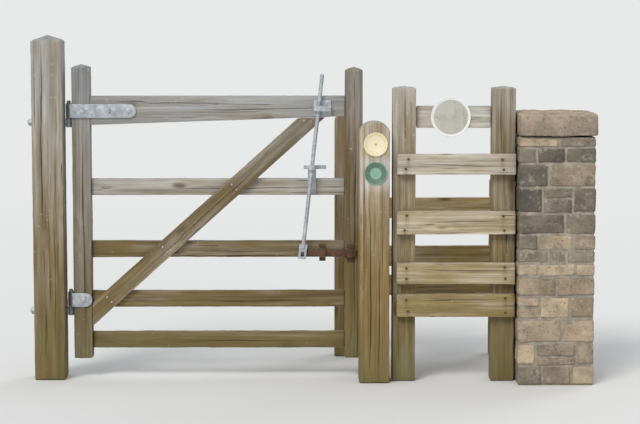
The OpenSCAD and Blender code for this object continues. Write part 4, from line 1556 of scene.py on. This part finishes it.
def head_tree():
    """A domed head on every point, flat side to the wood, facing along the point's direction."""
    tree, given, output = new_tree("domed_heads", ("Diameter", "Rise", "Tilt"), ("Sides", "Seed"))
    ball = add(tree, "GeometryNodeMeshUVSphere", {"Segments": given["Sides"], "Rings": 7}).outputs[0]
    half = product(tree, given["Diameter"], 0.5)
    size = vector_of(tree, half, half, given["Rise"])
    head = add(tree, "GeometryNodeTransform", {"Geometry": ball, "Scale": size}).outputs[0]
    tilt, back = given["Tilt"], product(tree, given["Tilt"], -1.0)
    ends = {0: vector_of(tree, back, back, -SPIN), 1: vector_of(tree, tilt, tilt, SPIN),
            "Seed": given["Seed"]}
    angles = add(tree, "FunctionNodeRandomValue", ends, data_type="FLOAT_VECTOR").outputs[0]
    placed = copies(tree, given["Geometry"], head, facing_turn(tree, angles))
    close_tree(tree, smoothed(tree, placed), given["Material"], output)
    return tree


def nut_tree():
    """A hexagon nut on every point, with its washer and the end of its bolt."""
    tree, given, output = new_tree("hexagon_nuts", ("Width", "Height"), ("Seed",))
    half = product(tree, given["Width"], 0.5)
    joined = tree.nodes.new("GeometryNodeJoinGeometry")
    for sides, wide, deep in ((6, 1.0, 1.0), (20, 1.35, 0.3), (12, 0.5, 1.7)):
        sizes = {"Vertices": sides, "Radius": product(tree, half, wide),
                 "Depth": product(tree, given["Height"], deep)}
        tree.links.new(add(tree, "GeometryNodeMeshCylinder", sizes).outputs[0], joined.inputs[0])
    ends = {2: -SPIN, 3: SPIN, "Seed": given["Seed"]}
    spin = add(tree, "FunctionNodeRandomValue", ends, data_type="FLOAT").outputs[1]
    placed = copies(tree, given["Geometry"], joined.outputs[0],
                    facing_turn(tree, vector_of(tree, 0.0, 0.0, spin)))
    close_tree(tree, placed, given["Material"], output)
    return tree


def fasteners(name, places, direction, tree, body, slot, **values):
    """A set of like heads on one body, all facing one way, as one plain mesh."""
    piece = point_piece(name, places, facing=[direction] * len(places))
    run_tree(piece, tree, material=metals[slot], **values)
    belongs(piece, body, slot)
    print(name, len(places), "heads,", len(piece.data.polygons), "faces")


heads, nuts = head_tree(), nut_tree()

# %% [markdown]
# ## Where the fasteners go
# The boards and rear rails use the nails that their stains were drawn from. The straps
# have round bolt heads in front and nuts behind, in line. Guide, bracket and bolt straps
# are held by small round-headed screws.

# %% Fasteners
FRONT, BACK = Vector((0, -1, 0)), Vector((0, 1, 0))
NAIL_SINK = 1.6 * MM        # how far weathered wood lies behind the sawn face
LOWER_STRAP_BOLT = 42 * MM  # bolts of the straps, from the leaf's hinge edge
UPPER_STRAP_BOLTS = (45 * MM, 150 * MM, 234 * MM)


def sunk(places):
    """The same places, on weathered wood."""
    return [place + Vector((0, NAIL_SINK, 0)) for place in places]


gate_nails = [nail for nails in nails_by_board.values() for nail in nails]
fasteners("board_nails", sunk(gate_nails), FRONT, heads, "gateway", "rusty_steel", diameter=10 * MM,
          rise=2.4 * MM, tilt=0.16, sides=12, seed=3)
fasteners("brace_nails", sunk(brace_nails), FRONT, heads, "leaf", "galvanised_steel", diameter=9 * MM,
          rise=2.2 * MM, tilt=0.14, sides=12, seed=4)

upper_low, upper_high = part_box("upper_hinge_strap")
lower_low, lower_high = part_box("lower_hinge_strap")
strap_bolts = [(heel_low.x + LOWER_STRAP_BOLT, (lower_low.z + lower_high.z) / 2)]
for distance in UPPER_STRAP_BOLTS:
    strap_bolts.append((heel_low.x + distance, (upper_low.z + upper_high.z) / 2))
front_heads = [Vector((x, upper_low.y, z)) for x, z in strap_bolts]
back_nuts = [Vector((x, upper_high.y + 1.5 * MM, z)) for x, z in strap_bolts]
fasteners("strap_bolt_heads", front_heads, FRONT, heads, "leaf", "galvanised_steel", diameter=26 * MM,
          rise=6 * MM, tilt=0.02, sides=20, seed=5)
fasteners("strap_nuts", back_nuts, BACK, nuts, "leaf", "galvanised_steel", width=21 * MM, height=9 * MM,
          seed=6)

guide_low, guide_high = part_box("lever_guide")
bracket_low, bracket_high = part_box("lever_bracket")
screws = []
for z in (guide_low.z + 10 * MM, guide_high.z - 10 * MM):
    for x in (guide_low.x + 12 * MM, guide_high.x - 12 * MM):
        screws.append(Vector((x, heel_low.y - GUIDE_PLATE, z)))
for z in (bracket_low.z + 12 * MM, bracket_low.z + 42 * MM):
    screws.append(Vector((pivot.x, bracket_high.y - BRACKET_T, z)))
fasteners("latch_screws", screws, FRONT, heads, "leaf", "galvanised_steel", diameter=9 * MM,
          rise=2.2 * MM, tilt=0.03, sides=12, seed=7)

# %% [markdown]
# ## Waymark discs and plaque
# Each disc is a thin printed plastic roundel held by one screw. Its ring and field keep
# their colours and are otherwise bare. The plaque is enamelled steel with a rolled rim.
# All three are turned profiles, and the printed ring is drawn by the shader from the
# distance to the disc's centre.

# %% Discs and plaque
PRINT_SOFT = 0.6 * MM       # how softly the printed ring begins and ends
LIP = 1 * MM                # height of a disc's lip, of which half shows above its field


def round_plate(node):
    """A round plate from its CAD box: the middle of its back, its radius and its thickness."""
    low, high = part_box(node)
    back = Vector(((low.x + high.x) / 2, high.y, (low.z + high.z) / 2))
    return back, (high.x - low.x) / 2, high.y - low.y


def distance_from(tree, place, centre):
    """How far a place on a plate lies from its centre, seen square on."""
    away = combine(tree, "SUBTRACT", place, tuple(centre))
    return length_of(tree, stretch(tree, away, (1.0, 0.0, 1.0)))


def printed_disc(name, centre, inner, outer, field_colour, ring_colour, wear_colour):
    """Plastic with a printed ring between two radii, faded and a little dirty."""
    material, tree, shader, place = new_finish(name)
    distance = distance_from(tree, place, centre)
    ring = product(tree, spread(tree, distance, inner - PRINT_SOFT, inner + PRINT_SOFT),
                   spread(tree, distance, outer - PRINT_SOFT, outer + PRINT_SOFT, 1.0, 0.0))
    fade = noise(tree, place, 45.0, 4.0, 0.6)
    dirt = noise(tree, place, 160.0, 3.0, 0.6)
    colour = coats(tree, field_colour, (ring, ring_colour),
                   (spread(tree, fade, 0.5, 0.75, 0.0, 0.45), wear_colour),
                   (spread(tree, dirt, 0.58, 0.72, 0.0, 0.3), tone(150, 138, 108)))
    fill(tree, shader, {"Base Color": colour, "Roughness": spread(tree, fade, 0.3, 0.7, 0.38, 0.6),
                        "Normal": bumps(tree, product(tree, dirt, 0.00012))})
    return material


def waymark(colour, edges, field_colour, ring_colour, wear_colour):
    """A printed disc, and the place of its screw. The edges of its ring are parts of its radius."""
    node = colour + "_waymark"
    centre, radius, thick = round_plate(node)
    face = thick - LIP / 2
    profile = [(0, 0), (radius - 0.6 * MM, 0), (radius, 0.6 * MM), (radius, thick - 0.5 * MM),
               (radius - 0.5 * MM, thick), (radius - 2.4 * MM, thick), (radius - 3.0 * MM, face),
               (5.2 * MM, face), (0, face)]
    material = printed_disc(node + "_print", centre, edges[0] * radius, edges[1] * radius,
                            field_colour, ring_colour, wear_colour)
    disc = turned(profile, centre, FRONT, 64)
    assemble(node + "_disc", [disc], material, "gateway", colour + "_plastic", node)
    return centre - Vector((0, face, 0))


yellow_screw = waymark("yellow", (0.7, 0.93), tone(242, 229, 194), tone(238, 221, 172),
                       tone(246, 238, 218))
green_screw = waymark("green", (0.5, 0.95), tone(134, 178, 156), tone(92, 119, 102),
                      tone(132, 156, 142))


def enamel(middle, rim):
    """White enamel: a bright rolled rim, and a field that has chalked to a warmer grey."""
    material, tree, shader, place = new_finish("white_enamel")
    on_rim = spread(tree, distance_from(tree, place, middle), rim - 6 * MM, rim)
    cloud = noise(tree, place, 24.0, 4.0, 0.6)
    run = noise(tree, stretch(tree, place, (90.0, 90.0, 9.0)), detail=3.0)
    colour = coats(tree, tone(193, 190, 180), (spread(tree, cloud, 0.42, 0.7), tone(174, 170, 160)),
                   (spread(tree, run, 0.54, 0.74, 0.0, 0.5), tone(168, 160, 138)),
                   (on_rim, tone(238, 241, 236)))
    fill(tree, shader, {"Base Color": colour, "Roughness": spread(tree, cloud, 0.3, 0.7, 0.22, 0.42),
                        "Normal": bumps(tree, product(tree, cloud, 0.0003))})
    return material


def make_plaque():
    """The plaque with its rolled rim, and the places of its two screws."""
    back, radius, thick = round_plate("plaque")
    face = thick - 2.2 * MM
    rolled = [(1, 0), (0, 1), (0, 3.8), (0.8, 4.8), (2.2, 5), (4, 4.7), (5.5, 2.8)]
    profile = [(0, 0)] + [(radius - inwards * MM, thick * up / 5) for inwards, up in rolled]
    profile += [(radius * 0.6, face + 0.5 * MM), (radius * 0.3, face + 0.8 * MM), (0, face + 0.9 * MM)]
    plate = turned(profile, back, FRONT, 96)
    assemble("plaque_enamel", [plate], enamel(back, radius - 8 * MM), "gateway", "white_enamel", "plaque")
    return [back + Vector((side * radius * 0.72, -face - 0.3 * MM, 0)) for side in (-1, 1)]


plate_screws = [yellow_screw, green_screw] + make_plaque()
fasteners("plate_screws", plate_screws, FRONT, heads, "gateway", "galvanised_steel", diameter=9 * MM,
          rise=1.4 * MM, tilt=0.02, sides=14, seed=8)

# %% [markdown]
# ## The pier's stones
# The pier is squared rubble: rough blocks laid in courses, with long and short corner
# stones turned over each other, in lime mortar. Its upper courses are dark and grey, the
# lower ones light and buff, and a thin pale course lies under the cap. A displaced box
# would not show where one stone ends. So each stone is laid: a loop works out the courses,
# the joints and each stone's size and tint.

# %% Laying the stones
JOINT = 3.5 * MM
STONE_DEPTH = 118 * MM
CORNER_WIDTHS = (0.07, 0.13)            # front of a corner stone that runs back into the pier
STONE_LENGTHS = (0.10, 0.20)
THIN_PAIR_CHANCE = 0.16                 # how often two thin stones make up the height of a tall course
STONE_TILT = 0.014
PIER_SEED = 11654
shaft_low, shaft_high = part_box("pier_shaft")
# Height in millimetres and lightness of each course, from the ground up.
COURSES = ((80, 0.7), (90, 0.75), (100, 0.7), (90, 0.75), (80, 0.8), (55, 0.9), (50, 0.6), (65, 0.7),
           (85, 0.45), (105, 0.2), (95, 0.5), (65, 0.15), (40, 0.7))


def split_run(length, draw):
    """Widths of the stones along one side of a course."""
    count = max(1, round(length / draw.uniform(*STONE_LENGTHS)))
    weights = draw.uniform(0.65, 1.4, count)
    return weights / weights.sum() * length


def course_runs(number, draw):
    """The four sides of a course: their way, start, length, middle line, thickness and inward sign."""
    width, depth = shaft_high.x - shaft_low.x, shaft_high.y - shaft_low.y
    left, right = draw.uniform(*CORNER_WIDTHS, 2)
    start_x, start_y, length_x, length_y = left + JOINT / 2, 0, width - left - right - JOINT, depth
    if number % 2 == 0:
        left = right = STONE_DEPTH
        start_x, start_y, length_x, length_y = 0, STONE_DEPTH, width, depth - 2 * STONE_DEPTH
    front, back = shaft_low.y + STONE_DEPTH / 2, shaft_high.y - STONE_DEPTH / 2
    return [("X", shaft_low.x + start_x, length_x, front, STONE_DEPTH, 1),
            ("X", shaft_low.x + start_x, length_x, back, STONE_DEPTH, -1),
            ("Y", shaft_low.y + start_y, length_y, shaft_low.x + left / 2, left, 1),
            ("Y", shaft_low.y + start_y, length_y, shaft_high.x - right / 2, right, -1)]


def stone_heights(height, draw):
    """One stone fills the height of its course, or now and then two thin ones do."""
    cut = draw.uniform(0.36, 0.64)
    if height > 75 * MM and draw.uniform() < THIN_PAIR_CHANCE:
        return [height * cut, height * (1 - cut)]
    return [height]


def lay_stones():
    """Centre, size, tint and turn of every stone. Corners turn over between courses."""
    draw = np.random.default_rng(PIER_SEED)
    scale = (shaft_high.z - shaft_low.z) / sum(rise for rise, _ in COURSES)
    stones = []
    z = shaft_low.z
    for number, (rise, lightness) in enumerate(COURSES):
        height = rise * scale
        for way, edge, length, line, thick, inwards in course_runs(number, draw):
            for size in split_run(length, draw):
                middle, foot = edge + size / 2, z
                edge += size
                for tall in stone_heights(height, draw):
                    behind = line + inwards * draw.uniform(0, 4) * MM
                    low_by, tilt = JOINT + draw.uniform(0, 3) * MM, draw.normal(0, STONE_TILT)
                    tint = np.clip(draw.normal(lightness, 0.2), 0, 1)
                    if way == "X":
                        centre, block, turn = (middle, behind), (size - JOINT, thick), (0, tilt, 0)
                    else:
                        centre, block, turn = (behind, middle), (thick, size - JOINT), (tilt, 0, 0)
                    stones.append(((*centre, foot + tall / 2), (*block, tall - low_by), tint, turn))
                    foot += tall
        z += height
    print(len(stones), "stones in", len(COURSES), "courses")
    return stones


rubble = lay_stones()

# %% [markdown]
# ## From points to stones
# A Geometry Nodes tree turns each point into a rounded block and keeps its tint. Soft
# noise and the cells of a second texture then push the faces in, so that they look split
# and not sawn. The tint also shifts the noise, and so no two stones get the same lumps.

# %% Block tree


def rounded_cube(tree, squareness, divisions):
    """A cube one metre wide whose edges are rounded, less so for a higher squareness."""
    grid = {"Size": (1.0, 1.0, 1.0), "Vertices X": divisions, "Vertices Y": divisions,
            "Vertices Z": divisions}
    cube = add(tree, "GeometryNodeMeshCube", grid).outputs[0]
    place = tree.nodes.new("GeometryNodeInputPosition").outputs[0]
    absolute = add(tree, "ShaderNodeVectorMath", {0: scaled(tree, place, 2.0)}, operation="ABSOLUTE")
    parts = add(tree, "ShaderNodeSeparateXYZ", {0: absolute.outputs[0]}).outputs
    powers = [calc(tree, "POWER", part, squareness) for part in parts]
    length = calc(tree, "POWER", total(tree, *powers), calc(tree, "DIVIDE", 1.0, squareness))
    rounded = scaled(tree, place, calc(tree, "DIVIDE", 1.0, length))
    return add(tree, "GeometryNodeSetPosition", {"Geometry": cube, "Position": rounded}).outputs[0]


def stone_tree():
    """A rounded, roughened block on every point, sized by the point's own value."""
    tree, given, output = new_tree("rubble_stones", ("Squareness", "Roughness", "Lumps"), ("Divisions",))
    block = rounded_cube(tree, given["Squareness"], given["Divisions"])
    turn = add(tree, "FunctionNodeEulerToRotation", {0: field(tree, "turn", "FLOAT_VECTOR")}).outputs[0]
    placed = copies(tree, given["Geometry"], block, turn, Scale=field(tree, "size", "FLOAT_VECTOR"))
    real = add(tree, "GeometryNodeRealizeInstances", {"Geometry": placed}).outputs[0]
    here = tree.nodes.new("GeometryNodeInputPosition").outputs[0]
    apart = vector_of(tree, product(tree, field(tree, "tint"), 7.0), 0.0, 0.0)
    shifted = combine(tree, "ADD", here, apart)
    coarse = noise(tree, shifted, 13.0, 1.0)
    facets = add(tree, "ShaderNodeTexVoronoi", {"Vector": shifted, "Scale": 24.0}).outputs["Distance"]
    fine = noise(tree, shifted, 55.0, 2.0, 0.6)
    uneven = product(tree, total(tree, spread(tree, coarse, 0.3, 0.7), facets), 0.6)
    depth = weighted(tree, (uneven, given["Lumps"]), (spread(tree, fine, 0.3, 0.72), given["Roughness"]))
    rough = push_in(tree, real, depth)
    close_tree(tree, smoothed(tree, rough), given["Material"], output)
    return tree


blocks = stone_tree()
print("block tree has", len(blocks.nodes), "nodes")

# %% [markdown]
# ## Limestone and mortar
# The stone is warm grey limestone. Each block has its own tint, from a ramp of grey, buff
# and pinkish brown, and over all of them lie mottling, darker weathered hollows, and grey
# and ochre lichen that prefers faces turned to the sky. The mortar is a core that lies a
# little behind the stones' faces.

# %% Stone finishes and pier
STONE_RAMP = ((0.0, (92, 87, 80)), (0.25, (114, 107, 96)), (0.5, (140, 128, 111)),
              (0.75, (164, 146, 123)), (1.0, (190, 171, 144)))
MORTAR_RECESS = 9 * MM
MORTAR_CUTS, MORTAR_UNEVEN = 40, 1.6    # grid lines on each face, and millimetres in or out


def limestone(name, lift, paler_upward=None):
    """Mottled limestone. Lift lightens it. Between the two heights it grows from darker low down to paler
    high up.
    """
    material, tree, shader, place = new_finish(name)
    tint, upward = read(tree, "tint"), facing_up(tree)
    ramp = add(tree, "ShaderNodeValToRGB", {0: tint})
    while len(ramp.color_ramp.elements) < len(STONE_RAMP):
        ramp.color_ramp.elements.new(0.5)
    for element, (position, colour) in zip(ramp.color_ramp.elements, STONE_RAMP):
        element.position = position
        element.color = tone(*colour)
    chance = calc(tree, "FRACT", product(tree, tint, 91.7))
    tinted = coats(tree, ramp.outputs[0], (spread(tree, chance, 0.55, 1.0, 0.0, 0.3), tone(150, 128, 110)),
                   (spread(tree, chance, 0.0, 0.4, 0.3, 0.0), tone(128, 126, 108)))

    mottle = noise(tree, place, 22.0, 5.0, 0.65)
    grit = noise(tree, place, 190.0, 3.0, 0.65)
    pits = noise(tree, place, 85.0, 3.0)
    blotches = noise(tree, place, 9.0)
    shade = product(tree, spread(tree, mottle, 0.25, 0.75, 0.66 + lift, 1.3 + lift),
                    spread(tree, blotches, 0.3, 0.7, 0.78, 1.22),
                    spread(tree, grit, 0.25, 0.75, 0.84, 1.15))
    # Between the two heights the colour grows darker downwards and paler upwards.
    if paler_upward:
        shade = product(tree, shade, spread(tree, up_part(tree, place), *paler_upward, 0.84, 1.24))

    grey_lichen = product(tree, spread(tree, noise(tree, place, 31.0, 4.0, 0.7), 0.56, 0.64),
                          spread(tree, upward, -0.1, 0.7, 0.3, 0.85))
    ochre_lichen = product(tree, spread(tree, noise(tree, place, 44.0, 3.0, 0.7), 0.65, 0.7),
                           spread(tree, upward, -0.2, 0.7, 0.2, 0.7))
    colour = coats(tree, shaded(tree, tinted, shade),
                   (spread(tree, pits, 0.6, 0.72, 0.0, 0.5), tone(84, 77, 68)),
                   (grey_lichen, tone(186, 182, 168)), (ochre_lichen, tone(174, 142, 84)))
    relief = weighted(tree, (grit, 0.0011), (mottle, 0.003), (spread(tree, pits, 0.58, 0.72), -0.0016))
    fill(tree, shader, {"Base Color": colour, "Roughness": 0.93, "Specular IOR Level": 0.25,
                        "Normal": bumps(tree, relief)})
    return material


def lime_mortar():
    """Buff mortar with darker sand in it."""
    material, tree, shader, place = new_finish("lime_mortar")
    cloud = noise(tree, place, 26.0, 4.0, 0.6)
    sand = noise(tree, place, 520.0, 2.0, 0.7)
    colour = coats(tree, tone(134, 125, 110), (spread(tree, cloud, 0.35, 0.65), tone(172, 163, 147)),
                   (spread(tree, sand, 0.56, 0.68, 0.0, 0.5), tone(104, 94, 78)))
    relief = weighted(tree, (sand, 0.0006), (cloud, 0.003))
    fill(tree, shader, {"Base Color": colour, "Roughness": 0.95, "Normal": bumps(tree, relief)})
    return material


def stone_piece(name, stones, material, slot, node, **values):
    """A block for each stone, by its centre, size, tint and turn, as one piece."""
    centres, sizes, tints, turns = zip(*stones)
    piece = point_piece(name, centres, size=sizes, tint=tints, turn=turns)
    run_tree(piece, blocks, material=material, **values)
    belongs(piece, "gateway", slot, node)
    print(name, len(piece.data.polygons), "faces")


def make_mortar():
    """The core: a subdivided block, a little behind the stones' faces, with a trowelled surface."""
    recess = Vector((MORTAR_RECESS, MORTAR_RECESS, 0))
    low, high = shaft_low + recess, shaft_high - recess
    shape = bmesh.new()
    bmesh.ops.create_cube(shape, size=1.0)
    bmesh.ops.subdivide_edges(shape, edges=shape.edges[:], cuts=MORTAR_CUTS, use_grid_fill=True)
    draw = np.random.default_rng(9)
    for vert in shape.verts:
        vert.co = low + Vector([(vert.co[k] + 0.5) * (high[k] - low[k]) for k in range(3)])
        if 0.01 < vert.co.z < high.z - 0.01:
            centre = Vector(((low.x + high.x) / 2, (low.y + high.y) / 2, vert.co.z))
            moved = draw.uniform(-MORTAR_UNEVEN, MORTAR_UNEVEN) * MM
            vert.co += (vert.co - centre).normalized() * moved
    assemble("pier_mortar", [shape], lime_mortar(), "gateway", "rubble_stone", soft_angle=180)


def make_pier():
    """The shaft's stones, the mortar between them, and the cap as one great stone."""
    stone_piece("pier_rubble", rubble, limestone("limestone", 0.0), "rubble_stone", "pier_shaft",
                squareness=18.0, roughness=2.0 * MM, lumps=4.5 * MM, divisions=10)
    make_mortar()
    low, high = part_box("pier_cap")
    slab = ((low + high) / 2, tuple(high - low), 0.5, (0, 0, 0))
    # The cap's face is darker towards its bottom and paler towards its top.
    paler_upward = (low.z + 10 * MM, high.z - 15 * MM)
    stone_piece("pier_cap_slab", [slab], limestone("cap_limestone", 0.22, paler_upward), "cap_stone", "pier_cap",
                squareness=15.0, roughness=3.0 * MM, lumps=5.0 * MM, divisions=60)


make_pier()
